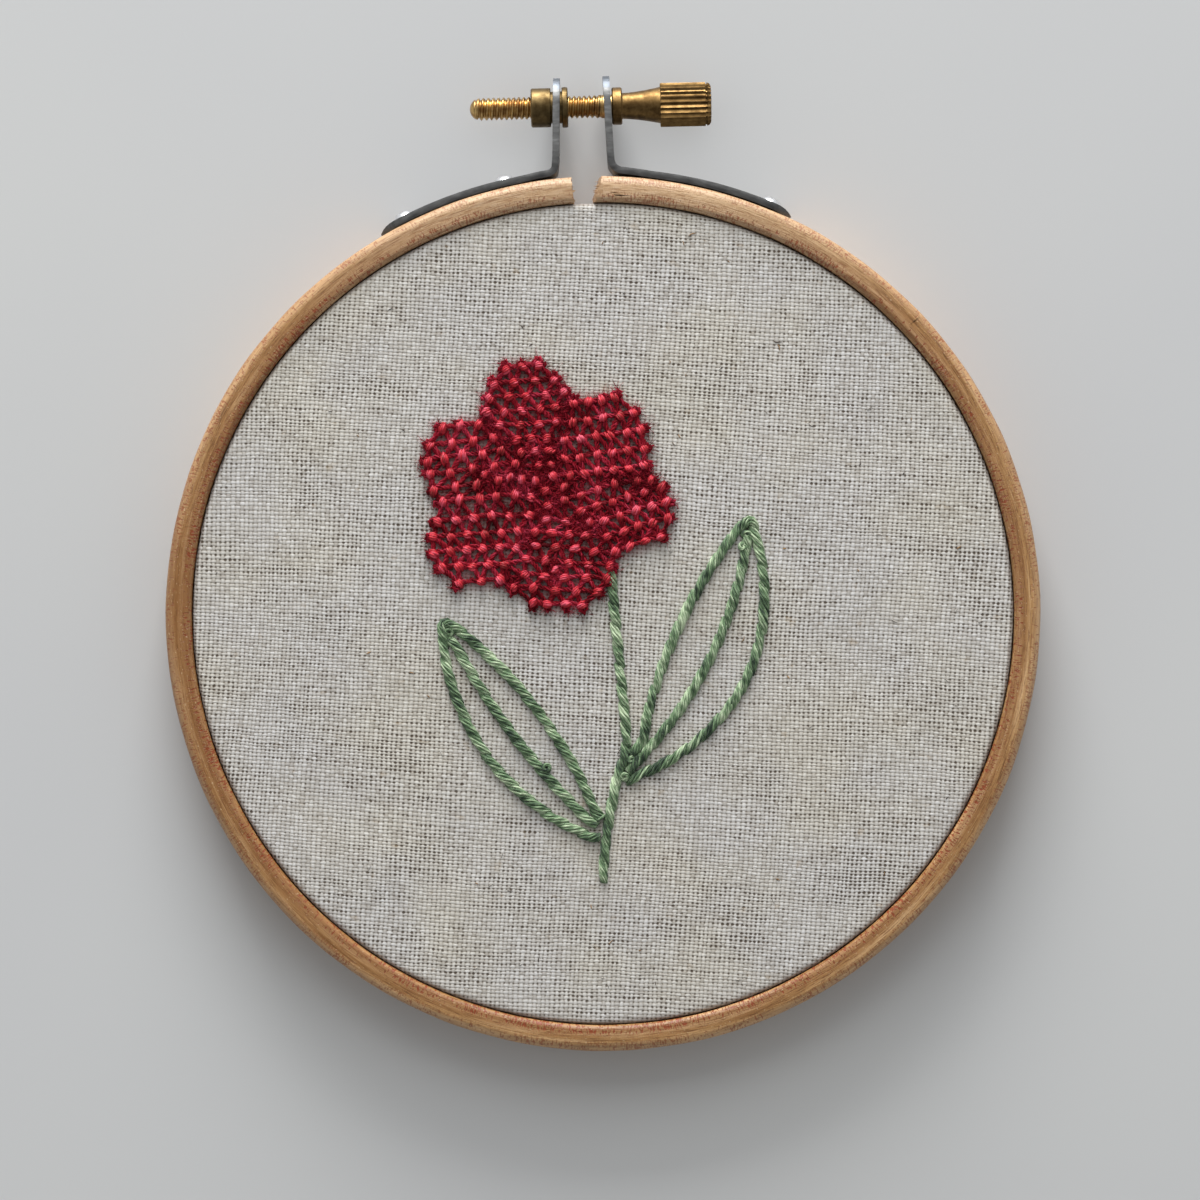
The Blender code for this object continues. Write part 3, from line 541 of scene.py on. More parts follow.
def arc(centre, radius, start, end, count):
    """Points on an arc of a profile, angles in degrees from outwards towards up."""
    turns = [radians(start + (end - start) * i / (count - 1)) for i in range(count)]
    return [(centre[0] + radius * cos(a), centre[1] + radius * sin(a)) for a in turns]


def unevenness(place, size, seed=0.0):
    """Smooth noise from -1 to 1 that changes over about size metres."""
    return noise.noise(Vector(place) / size + Vector((seed, seed, seed)))


def heading(turn):
    """The level direction at an angle."""
    return Vector((cos(turn), sin(turn)))


def left_of(direction):
    return Vector((-direction.y, direction.x))


# ------------------------------------------------------------------ rings


def ring_profile(inner, outer, depth, front, inside, back):
    """A ring's section with rounded front corners, the outer one rounder, and eased back corners."""
    wall_steps = 5
    side = [(outer, back + (depth - front - back) * i / wall_steps) for i in range(1, wall_steps)]
    return [
        *arc((inner + back, back), back, 180, 270, 3),
        *arc((outer - back, back), back, 270, 360, 3),
        *side,
        *arc((outer - front, depth - front), front, 0, 90, 8),
        *arc((inner + inside, depth - inside), inside, 90, 180, 8),
        *[(inner, h) for _, h in reversed(side)],
    ]


def plane_by_hand(bm, amount, seed):
    """Small long waves that planing and bending leave in the wood."""
    for vertex in bm.verts:
        turn = atan2(vertex.co.x, vertex.co.y)
        radius = hypot(vertex.co.x, vertex.co.y)
        # The waves are six times as long along the grain as across it.
        spot = (turn * 55 * MM / 6, radius, vertex.co.z)
        lift = unevenness(spot, 1.1 * MM, seed) * amount
        outwards = Vector((sin(turn), cos(turn), 0))
        vertex.co += outwards * lift + Vector((0, 0, lift if vertex.co.z > CLASP_Z else 0))


def snap_ends(bm, half_split):
    """Breaks the ring's ends: a step that follows the grain, in torn slivers about 0.4 mm across."""
    reach = 1.6 * MM
    step = {-1: 0.12 * MM, 1: 0.5 * MM}
    for vertex in bm.verts:
        x, y, z = vertex.co
        radius, turn = hypot(x, y), atan2(x, y)
        from_end = (abs(turn) - half_split) * radius
        if from_end > reach:
            continue
        side = round(copysign(1, turn))
        near = (1 - from_end / reach) ** 3
        across = (radius - RING_MIDDLE) / (OUTER_RADIUS - RING_MIDDLE)
        wave = across + 0.4 * cos(5 * z / HOOP_DEPTH + side)
        torn = unevenness((radius, z, side), 0.45 * MM) * 0.28 * MM
        turn += side * (step[side] * wave + torn) * max(0.0, near) / radius
        vertex.co = (radius * sin(turn), radius * cos(turn), z)


def crack_wedges():
    """Thin wedges that cut the cracks: along the grain by the right end, and across it at two places."""
    bm = bmesh.new()
    # Middle in mm from the rings' centre, direction in degrees, length, width and depth in mm
    for (x, y), direction, length, width, depth in (
        ((2.0, 52.3), -3, 3.4, 0.17, 1.1),
        ((1.5, 52.6), -8, 1.5, 0.1, 0.7),
        ((39.0, 36.6), 38, 1.7, 0.13, 0.5),
    ):
        shape = (
            Matrix.Translation((x * MM, y * MM + RINGS_Y, HOOP_DEPTH))
            @ Matrix.Rotation(radians(direction), 4, "Z")
            @ Matrix.Diagonal((length * MM, width * MM, depth * MM, 1))
        )
        bmesh.ops.create_cone(
            bm, segments=4, radius1=0.5, radius2=0.5, depth=2.0, cap_ends=True, matrix=shape,
        )
    return as_mesh(bm)


def add_outer_ring(wood):
    """The split ring, with snapped ends and fine cracks."""
    half_split = (SPLIT_WIDTH / 2 + SNAPPED_OFF) / OUTER_RADIUS
    profile = ring_profile(SOCKET_RADIUS, OUTER_RADIUS, HOOP_DEPTH, 1.2 * MM, 0.75 * MM, 0.3 * MM)
    # The steps are finer by the ends, where the wood is torn.
    fine = radians(2.6)
    bm = bmesh.new()
    for steps, start, angle in (
        (22, pi / 2 + half_split, fine),
        (380, pi / 2 + half_split + fine, FULL_TURN - 2 * half_split - 2 * fine),
        (22, pi / 2 - half_split - fine, fine),
    ):
        spun(profile, "Z", steps, start, angle, bm)
    bmesh.ops.remove_doubles(bm, verts=bm.verts, dist=1e-6)
    for side in (-1, 1):
        open_edges = [
            e for e in bm.edges
            if e.is_boundary and (e.verts[0].co.x + e.verts[1].co.x) * side > 0
        ]
        cap = bmesh.ops.contextual_create(bm, geom=open_edges)["faces"]
        for thickness in (0.25 * MM, 0.45 * MM, 0.45 * MM):
            bmesh.ops.inset_region(bm, faces=cap, thickness=thickness)
        bmesh.ops.triangulate(bm, faces=cap)
    plane_by_hand(bm, 0.07 * MM, 4.0)
    bmesh.ops.remove_doubles(bm, verts=bm.verts, dist=1e-6)
    snap_ends(bm, half_split)
    mesh = finished_mesh(bm)
    mesh.transform(CLASP)
    blank = in_scene("outer_ring_blank", mesh)
    cracked = settled_mesh(blank, carve(blank, crack_wedges()))
    place_piece("outer_ring_wood", cracked, wood, ["outer_ring"], sharp=50)


def add_slivers(wood):
    """Loose fibres where the wood was snapped, and a pale one that lifts beside the crack."""
    slivers = []
    for side, count in ((-1, 9), (1, 14)):
        for _ in range(count):
            radius = SOCKET_RADIUS + draw(0.2, 3.1) * MM
            z = draw(4.6, 7.6) * MM
            if radius < SOCKET_RADIUS + 0.8 * MM or radius > OUTER_RADIUS - 0.8 * MM:
                z = min(z, 6.9 * MM)
            end = SPLIT_WIDTH / 2 / radius + draw(-0.1, 0.35) * MM / radius
            long = draw(0.5, 1.1) * MM / radius
            start = end + long
            points = []
            for i, share in enumerate((1.0, 0.9, 0.55, 0.08)):
                turn = side * (start + (end - long * 0.45 - start) * i / 3)
                points.append(((radius * sin(turn), radius * cos(turn), z), share))
            slivers.append(points)
    pale = [(2.6, 52.3, 7.8, 0.3), (3.1, 52.22, 7.98, 1.0), (3.6, 52.12, 7.98, 0.9), (4.1, 52.0, 7.8, 0.2)]
    slivers.append([(Vector((x, y, z)) * MM, share) for x, y, z, share in pale])
    place_strands("ring_end_slivers", slivers, 0.26 * MM, wood, sides=4, where=CLASP)


def add_inner_ring(wood):
    """The closed ring that the linen is stretched over; only its back and inside show."""
    inner = INNER_RADIUS - INNER_WALL
    bm = spun(ring_profile(inner, INNER_RADIUS, INNER_DEPTH, 0.5 * MM, 0.5 * MM, 0.45 * MM), "Z", 300)
    plane_by_hand(bm, 0.05 * MM, 9.0)
    mesh = finished_mesh(bm)
    mesh.transform(RINGS)
    place_piece("inner_ring_wood", mesh, wood, ["inner_ring"], sharp=50)


# ------------------------------------------------------------------ linen


def petal_share(place):
    """(petal, next petal, how far through the petal) for a place's direction from the flower's centre."""
    turn = degrees(atan2(place.y, place.x)) % 360
    for petal, after in zip(PETALS, PETALS[1:] + PETALS[:1]):
        share = (turn - petal["from"]) % 360 / ((after["from"] - petal["from"]) % 360)
        if share < 1:
            return petal, after, share
    raise ValueError("the petals leave a gap")


def inside_outline(place):
    """How far inside the flower's outline a place from its centre lies."""
    petal, after, share = petal_share(place)
    notch = petal["notch"] + (after["notch"] - petal["notch"]) * share
    return (notch + (petal["tip"] - notch) * abs(sin(pi * share)) ** 1.2) * MM - place.length


def thread_places(count, pitch, seed, random_share):
    """Where each thread lies: evenly spaced but for slow bands of tighter and looser weave."""
    places = [0.0]
    for i in range(1, count + 1):
        tightness = 1 + 0.15 * noise.noise(Vector((i * 0.21, seed, 0))) + random_share * draw(-1, 1)
        places.append(places[-1] + pitch * tightness)
    middle = places[count // 2]
    return [p - middle for p in places]


def on_the_hoop(flat):
    """Takes a place on the flat cloth to the stretched one: level, round the ring's edge, down the skirt."""
    radius = flat.length
    level = LINEN_RADIUS - LINEN_EDGE_RADIUS
    if radius <= level:
        return Vector((flat.x, flat.y, LINEN_TOP)), Vector((0, 0, 1))
    outwards = flat / radius
    turn = min((radius - level) / LINEN_EDGE_RADIUS, pi / 2)
    down = radius - level - turn * LINEN_EDGE_RADIUS
    folds = 0.5 + 0.5 * noise.noise(Vector((atan2(flat.y, flat.x) * 9, 0, 5.0)))
    pull = 0.5 * MM * folds * min(1.0, down / (3 * MM))
    out = level + LINEN_EDGE_RADIUS * sin(turn) - pull
    z = LINEN_TOP - LINEN_EDGE_RADIUS * (1 - cos(turn)) - down
    normal = Vector((outwards.x * sin(turn), outwards.y * sin(turn), cos(turn)))
    return Vector((outwards.x * out, outwards.y * out, z)), normal


def cloth_lift(place):
    """Slow waves of the stretched cloth, at most 0.1 mm, that stitching and clamping leave."""
    return 0.1 * MM * unevenness((*place, 0), 9 * MM, 2.0)


def cloth_pull(place, size, most, seeds):
    """How far a thread lies aside of its even place, at most so many mm."""
    return Vector([unevenness((*place, 0), size, seed) for seed in seeds]) * most * MM


def add_linen(cloth):
    """One sheet with a face for each place where two threads cross, raised or sunk in turn."""
    warps = 2 * ceil(LINEN_REACH * 1.1 / WARP_PITCH)
    wefts = 2 * ceil(LINEN_REACH * 1.1 / WEFT_PITCH)
    warp_at = thread_places(warps, WARP_PITCH, 1.0, 0.1)
    weft_at = thread_places(wefts, WEFT_PITCH, 6.0, 0.17)
    askew = Matrix.Rotation(WEAVE_TURN, 2)
    bm = bmesh.new()
    bmesh.ops.create_grid(bm, x_segments=warps, y_segments=wefts, size=1.0)
    count_threads = bm.loops.layers.uv.new("threads")
    fluff_layer = bm.verts.layers.float.new("red_fluff")
    numbers = {}
    cut_off = []
    for vertex in bm.verts:
        i = round((vertex.co.x + 1) / 2 * warps)
        j = round((vertex.co.y + 1) / 2 * wefts)
        lie = askew @ Vector((warp_at[i], weft_at[j]))
        flat = lie + cloth_pull(lie, 3 * MM, 0.1, (1.0, 8.0)) + cloth_pull(lie, 34 * MM, 0.9, (3.0, 5.0))
        turn = atan2(flat.y, flat.x)
        if flat.length > LINEN_REACH + 0.35 * MM * noise.noise(Vector((turn * 20, 0, 2.0))):
            cut_off.append(vertex)
            continue
        numbers[vertex] = (i, j)
        spot, normal = on_the_hoop(flat)
        vertex.co = spot + normal * (CRIMP if (i + j) % 2 else -CRIMP)
        vertex.co.z += cloth_lift(flat) if flat.length < LINEN_RADIUS - 3 * MM else 0
        # Fluff thickens over 3 mm from the flower's edge inwards.
        vertex[fluff_layer] = max(0.0, min(0.62, 0.18 + inside_outline(flat - FLOWER_CENTRE) / (3 * MM)))
    bmesh.ops.delete(bm, geom=cut_off, context="VERTS")
    for face in bm.faces:
        for loop in face.loops:
            loop[count_threads].uv = numbers[loop.vert]
    bmesh.ops.delete(bm, geom=[v for v in bm.verts if not v.link_faces], context="VERTS")
    bmesh.ops.recalc_face_normals(bm, faces=bm.faces)
    top = min(bm.faces, key=lambda f: f.calc_center_median().length_squared)
    if top.normal.z < 0:
        bmesh.ops.reverse_faces(bm, faces=bm.faces)
    bmesh.ops.solidify(bm, geom=bm.faces[:], thickness=LINEN_THICKNESS)
    mesh = as_mesh(bm)
    mesh.transform(RINGS)
    return place_piece("stretched_linen", mesh, cloth, ["linen"])


# ------------------------------------------------------------------ stitching


def place_strands(name, strands, thickness, material, replaced=(), sides=6, where=RINGS):
    """Sweeps round strands along lists of (place, share of the thickness) and places them as one piece."""
    data = bpy.data.curves.new(name, "CURVE")
    data.dimensions = "3D"
    data.bevel_depth = thickness / 2
    data.bevel_resolution = sides // 2 - 2
    data.use_fill_caps = True
    for strand in strands:
        spline = data.splines.new("POLY")
        spline.points.add(len(strand) - 1)
        for point, (place, share) in zip(spline.points, strand):
            point.co = (*place, 1)
            point.radius = share
    holder = in_scene(name, data)
    bpy.context.view_layer.update()
    mesh = settled_mesh(holder)
    bm = bmesh.new()
    bm.from_mesh(mesh)
    bmesh.ops.remove_doubles(bm, verts=bm.verts, dist=1e-8)
    bmesh.ops.recalc_face_normals(bm, faces=bm.faces)
    bm.to_mesh(mesh)
    bm.free()
    mesh.transform(where)
    place_piece(name, mesh, material, replaced)


def smooth_points(points, step):
    """A Catmull-Rom curve through the points, resampled to even steps."""
    ends = [2 * points[0] - points[1], *points, 2 * points[-1] - points[-2]]
    fine = []
    parts = 16
    for a, b, c, d in zip(ends, ends[1:], ends[2:], ends[3:]):
        for i in range(parts):
            t = i / parts
            slope, bend, twist = c - a, 2 * a - 5 * b + 4 * c - d, 3 * b - a - 3 * c + d
            fine.append(b + (slope * t + bend * t**2 + twist * t**3) / 2)
    fine.append(points[-1])
    lengths = [0.0]
    for a, b in zip(fine, fine[1:]):
        lengths.append(lengths[-1] + (b - a).length)
    count = max(2, round(lengths[-1] / step))
    even, j = [], 0
    for i in range(count + 1):
        wanted = lengths[-1] * i / count
        while j < len(lengths) - 2 and lengths[j + 1] < wanted:
            j += 1
        share = (wanted - lengths[j]) / max(lengths[j + 1] - lengths[j], 1e-12)
        even.append(fine[j].lerp(fine[j + 1], min(1.0, share)))
    return even


def leaf_line(line, end, span=(0.0, 1.0), count=9):
    """Points from a line's foot to its end, bowed to the right of the straight way."""
    foot, start, bow = line
    start = Vector(start) * MM
    along = end - start
    across = Vector((along.y, -along.x)).normalized()
    points = [Vector(foot) * MM]
    for i in range(count):
        t = span[0] + (span[1] - span[0]) * i / (count - 1)
        bulge = bow * MM * abs(sin(pi * t)) ** LEAF_FULLNESS
        points.append(start + along * t + across * bulge)
    return points


def leaf_lines(leaf):
    """The leaf's outline, which turns round the tip, and its midrib, which stops short of it."""
    tip = Vector(leaf["tip"]) * MM
    along = (tip - Vector(leaf["middle"][1]) * MM).normalized()
    aside = Vector((along.y, -along.x)) * LEAF_TIP_RADIUS
    left = leaf_line(leaf["left"], tip - aside)
    right = leaf_line(leaf["right"], tip + aside)
    outline = left + [tip + along * LEAF_TIP_RADIUS] + right[::-1]
    return outline, leaf_line(leaf["middle"], tip, MIDRIB_SPAN, count=7)


def spot_on(route, length):
    """(place, leftwards) at a length along a route of even steps."""
    length = min(max(length, 0.0), ROUTE_STEP * (len(route) - 1) - 1e-6)
    i = min(int(length / ROUTE_STEP), len(route) - 2)
    direction = (route[i + 1] - route[i]).normalized()
    return route[i].lerp(route[i + 1], length / ROUTE_STEP - i), left_of(direction)


def stem_stitches(points):
    """Stem stitch along a line: each stitch is a twisted bundle of plies that comes up on the line's
    right side, goes down on its left and lies half over the one before, so the line looks like a rope."""
    route = smooth_points(points, ROUTE_STEP)
    total = ROUTE_STEP * (len(route) - 1)
    strands = []
    start = -0.3 * STITCH_LENGTH
    steps = 11
    while start < total - 0.35 * STITCH_LENGTH:
        length = STITCH_LENGTH * draw(0.9, 1.1)
        lean = draw(0.9, 1.1)
        plump = draw(0.92, 1.08)
        first_turn = draw(0, FULL_TURN)
        for ply in range(PLIES):
            strand = []
            wander = draw(0, 9)
            for n in range(steps + 1):
                t = n / steps
                arch = sin(pi * t) ** 0.6
                place, leftwards = spot_on(route, start + t * length)
                # Plies turn to the left as they go, as seen from above, and lie closer where they dive.
                turn = first_turn + FULL_TURN * (ply / PLIES - t * length / THREAD_TWIST)
                spread = plump * (0.45 + 0.55 * arch)
                aside = (t - 0.5) * 0.62 * MM * lean + 0.43 * MM * spread * cos(turn)
                aside += 0.04 * MM * noise.noise(Vector((n * 0.7, wander, 0)))
                height = -0.3 * MM + 0.68 * MM * arch * plump + 0.2 * MM * spread * sin(turn)
                z = LINEN_TOP + height + cloth_lift(place)
                strand.append(((*(place + leftwards * aside), z), 0.72 + 0.28 * arch))
            strands.append(strand)
        start += STITCH_ADVANCE * draw(0.88, 1.12)
    return strands


def small_knot(middle, radius):
    """A loop of twisted thread drawn down round itself."""
    strands = []
    first_turn = draw(0, FULL_TURN)
    squash = draw(0.75, 0.95)
    plies, steps = 4, 16
    for ply in range(plies):
        strand = []
        for n in range(steps + 1):
            t = n / steps
            turn = first_turn + FULL_TURN * 1.35 * t
            ply_turn = FULL_TURN * (ply / plies + 1.2 * t)
            out = radius * (1 - 0.25 * t) + 0.16 * MM * cos(ply_turn)
            arch = sin(pi * t) ** 0.5
            z = LINEN_TOP - 0.1 * MM + (0.42 + 0.25 * t) * MM * arch + 0.16 * MM * sin(ply_turn)
            strand.append(((middle.x + out * cos(turn), middle.y + squash * out * sin(turn), z), 0.85))
        strands.append(strand)
    return strands


def back_stitches(points):
    """What stem stitch leaves on the back: short straight stitches of three strands, end to end."""
    route = smooth_points(points, ROUTE_STEP)
    total = ROUTE_STEP * (len(route) - 1)
    strands = []
    start = 0.4 * MM
    while start < total - 1.6 * MM:
        length = draw(1.3, 1.9) * MM
        for k in (-1, 0, 1):
            strand = []
            for t in (0.0, 0.25, 0.5, 0.75, 1.0):
                place, leftwards = spot_on(route, start + t * length)
                z = UNDERSIDE - 0.28 * MM * sin(pi * t) ** 0.7
                strand.append(((*(place + leftwards * (k * 0.18 * MM)), z), 1.0))
            strands.append(strand)
        start += length
    return strands


def row_places(petal, row):
    """Places of one row's knots: from the outline, or from half a step inside the next petal's rows."""
    along = heading(radians(petal["slope"]))
    middle = left_of(along) * (petal["first"] + petal["apart"] * row) * MM
    step, steps, edge = 0.1 * MM, 190, 0.45 * MM
    inside = []
    for i in range(-steps, steps + 1):
        place = middle + along * i * step
        if inside_outline(place) > edge and petal_share(place)[0] is petal:
            inside.append(i)
    if not inside:
        return []
    ends = []
    for i in (inside[0] - 1, inside[-1] + 1):
        at_outline = inside_outline(middle + along * i * step) < edge
        ends.append(0.0 if at_outline else 0.35 + 0.3 * (row % 2))
    length = (inside[-1] - inside[0]) * step
    spacing = petal["along"] * MM
    count = max(1, round(length / spacing - sum(ends)) + 1)
    even = min(length / max(count - 1 + sum(ends), 0.5), 1.3 * spacing)
    return [middle + along * (inside[0] * step + (ends[0] + i) * even) for i in range(count)]


def new_knot(place, petal, row, lean, length, breadth):
    """A knot, with its lean in degrees. A lone one has petal -1."""
    return {
        "place": place, "petal": petal, "row": row,
        "lean": radians(lean), "length": length, "breadth": breadth,
    }


def fill_gaps(knots):
    """Adds single knots, widest gap first, where the petals' rows leave the flower's middle bare."""
    step, reach = 0.4 * MM, 16 * MM
    count = int(reach / step)
    spots = [Vector((i * step, j * step)) for i in range(-count, count + 1) for j in range(-count, count + 1)]
    spots = [s for s in spots if inside_outline(s) > 0.9 * MM]
    clear = [min((spot - knot["place"]).length for knot in knots) for spot in spots]
    while max(clear) > KNOT_ROOM:
        place = spots[clear.index(max(clear))]
        lean = petal_share(place)[0]["lean"] + draw(-30, 30)
        knots.append(new_knot(place, -1, 0, lean, draw(1.1, 1.5) * MM, draw(0.9, 1.05) * MM))
        clear = [min(room, (spot - place).length) for room, spot in zip(clear, spots)]


def flower_knots():
    """The flower's knots, row by row in each petal, none too close to another."""
    knots = []
    for number, petal in enumerate(PETALS):
        for row in range(-9, 10):
            for place in row_places(petal, row):
                place = place + Vector((draw(-0.15, 0.15), draw(-0.15, 0.15))) * MM
                if all((place - other["place"]).length > KNOT_ROOM for other in knots):
                    lean = petal["lean"] + draw(-22, 22)
                    length = petal["long"] * MM * draw(0.84, 1.16)
                    breadth = petal["broad"] * MM * draw(1.0, 1.16)
                    knots.append(new_knot(place, number, row, lean, length, breadth))
    fill_gaps(knots)
    return knots


def knot_strands(knot):
    """Four strands side by side that arch over the lacing and dip into the cloth at both ends."""
    lean = heading(knot["lean"])
    aside = left_of(lean)
    middle = FLOWER_CENTRE + knot["place"]
    tall = draw(0.9, 1.1) * MM
    skew = draw(-0.3, 0.3)
    strands = []
    for k in (-1, -0.33, 0.33, 1):
        strand = []
        shift = draw(-0.13, 0.13) * MM
        for t in (0.0, 0.2, 0.5, 0.8, 1.0):
            bulge = sin(pi * t)
            out = k * (knot["breadth"] / 2 - KNOT_STRAND / 2) * (0.5 + 0.5 * bulge) + skew * (t - 0.5) * MM
            flat = middle + lean * ((t - 0.5) * (knot["length"] - 0.1 * MM) + shift) + aside * out
            z = LINEN_TOP + (tall - 0.2 * MM * abs(k)) * bulge**0.6
            strand.append(((*flat, z), 0.8 + 0.2 * bulge))
        strands.append(strand)
    return strands


def laced(line, along, farthest):
    """Passes of the lacing from (order, place) to the next, broken where two lie too far apart."""
    ordered = [p for _, p in sorted(line, key=lambda item: item[0])]
    if len(ordered) < 2:
        return []
    routes = []
    run = [ordered[0] - along * draw(0.5, 1.1) * MM, ordered[0]]
    for a, b in zip(ordered, ordered[1:]):
        if (b - a).length > farthest:
            routes.append(run)
            run = []
        run.append(b)
    run.append(run[-1] + along * draw(0.5, 1.0) * MM)
    return routes + [run]


def lacing_routes(knots):
    """Flat routes of the lacing: zigzags between neighbouring rows, lines along rows, and links
    between petals. It turns in small loops past the outline."""
    routes = []
    for number, petal in enumerate(PETALS):
        along = heading(radians(petal["slope"]))
        across = left_of(along)
        rows = {}
        for knot in knots:
            if knot["petal"] == number:
                rows.setdefault(knot["row"], []).append(knot["place"])
        for row in sorted(rows):
            lower = [(p.dot(along), p + across * 0.16 * MM) for p in rows[row]]
            upper = [(p.dot(along), p - across * 0.16 * MM) for p in rows.get(row + 1, [])]
            shifted = [(x + 0.5 * MM, p + across * 0.3 * MM) for x, p in upper]
            for line, farthest in ((lower + upper, 3.3 * MM), (lower, 3.0 * MM), (lower + shifted, 3.3 * MM)):
                routes += laced(line, along, farthest)
    for i, knot in enumerate(knots):
        place = knot["place"]
        for other in knots[i + 1 :]:
            lone = other["petal"] != knot["petal"] or knot["petal"] < 0
            if lone and (place - other["place"]).length < 3.35 * MM:
                routes.append([place, other["place"]])
        if inside_outline(place) < 1.3 * MM:
            out = place.normalized()
            aside = left_of(out) * draw(0.3, 0.5) * MM
            far = place + out * draw(0.6, 1.05) * MM
            routes.append([place - aside, far - aside * 0.5, far + aside * 0.5, place + aside])
    return [route for route in routes if len(route) > 1]


def yarn(route, z):
    """Three loosely twisted strands along a flat route in the flower."""
    step, twist_pitch, spread = 0.5 * MM, 1.7 * MM, 0.22 * MM
    points = smooth_points(route, step)
    strands = ([], [], [])
    phase = draw(0, FULL_TURN)
    for i, point in enumerate(points):
        a, b = points[max(i - 1, 0)], points[min(i + 1, len(points) - 1)]
        leftwards = left_of((b - a).normalized())
        for number, strand in enumerate(strands):
            turn = phase + FULL_TURN * (i * step / twist_pitch + number / 3)
            out = spread * cos(turn) + draw(-0.11, 0.11) * MM
            up = spread * 0.7 * sin(turn)
            strand.append(((*(FLOWER_CENTRE + point + leftwards * out), z + up), draw(0.65, 1.2)))
    return strands


def fluff(routes, count, longest, low, high, stray=0.0):
    """Short fine hairs that stand off threads on flat routes, between two heights over the cloth."""
    hairs = []
    for _ in range(count):
        route = DRAWS.choice(routes)
        i = DRAWS.randrange(len(route) - 1)
        place = route[i].lerp(route[i + 1], DRAWS.random())
        place = place + Vector((draw(-stray, stray), draw(-stray, stray)))
        turn = draw(0, FULL_TURN)
        bend = draw(-1.2, 1.2)
        long = draw(0.35, 1.0) * longest
        z = LINEN_TOP + draw(low, high)
        rise = draw(-0.15, 0.3) * MM
        hair = []
        for n in range(4):
            hair.append(((*place, z + rise * sin(n)), 1.0 - 0.25 * n))
            place = place + heading(turn) * long / 3
            turn += bend / 3
        hairs.append(hair)
    return hairs


def back_of_flower(knots):
    """Two strands behind the cloth from each knot to the next one of its petal."""
    strands = []
    for a, b in zip(knots, knots[1:]):
        if a["petal"] == b["petal"] and (a["place"] - b["place"]).length < 3.4 * MM:
            start, end = FLOWER_CENTRE + a["place"], FLOWER_CENTRE + b["place"]
            for k in (-1, 1):
                strand = []
                for t in (0.0, 0.3, 0.7, 1.0):
                    flat = start.lerp(end, t) + Vector((0, 0.13 * MM * k))
                    strand.append(((*flat, UNDERSIDE - 0.25 * MM * sin(pi * t)), 1.0))
                strands.append(strand)
    return strands


def add_flower(bright, dark):
    """Bright knots over dark fluffy lacing, and what the work leaves on the back of the cloth."""
    knots = flower_knots()
    routes = lacing_routes(knots)
    strands = [strand for knot in knots for strand in knot_strands(knot)]
    place_strands("flower_knots", strands, KNOT_STRAND, bright, ["flower"])
    lacing = []
    for route in routes:
        lacing += yarn(route, LINEN_TOP + draw(0.28, 0.44) * MM)
    place_strands("flower_lacing", lacing, 0.34 * MM, dark)
    placed = [[FLOWER_CENTRE + point for point in route] for route in routes]
    for name, count, longest, low, high, stray, thickness in (
        ("flower_fluff", 7000, 1.3, 0.12, 0.7, 0.0, 0.075),
        ("flower_wisps", 3600, 1.9, 0.06, 0.8, 0.45, 0.055),
    ):
        hairs = fluff(placed, count, longest * MM, low * MM, high * MM, stray * MM)
        place_strands(name, hairs, thickness * MM, dark, sides=4)
    place_strands("flower_back", back_of_flower(knots), 0.36 * MM, bright)


def add_greenery(green):
    """The stem and both leaves, each line on a piece that stands for its CAD node."""
    lines = {"stem": [Vector(point) * MM for point in STEM]}
    knots = []
    for name, leaf in LEAVES.items():
        lines[name + "_outline"], lines[name + "_midrib"] = leaf_lines(leaf)
        for x, y in leaf["knots"]:
            knots += small_knot(Vector((x, y)) * MM, draw(0.36, 0.5) * MM)
    back = []
    for name, points in lines.items():
        place_strands(name + "_stitches", stem_stitches(points), PLY_WIDTH, green, [name])
        back += back_stitches(points)
    place_strands("leaf_knots", knots, 0.33 * MM, green)
    hairs = fluff(list(lines.values()), 420, 1.4 * MM, 0.2 * MM, 0.75 * MM)
    place_strands("greenery_fluff", hairs, 0.05 * MM, green, sides=4)
    place_strands("greenery_back", back, 0.4 * MM, green)


# ------------------------------------------------------------------ clasp


def ear_x(strip, height):
    lean = (strip["top_x"] - strip["foot_x"]) / (EAR_TOP - OUTER_RADIUS)
    return strip["foot_x"] + lean * (height - OUTER_RADIUS)


def ear_lean(strip):
    return atan2(strip["foot_x"] - strip["top_x"], EAR_TOP - OUTER_RADIUS)


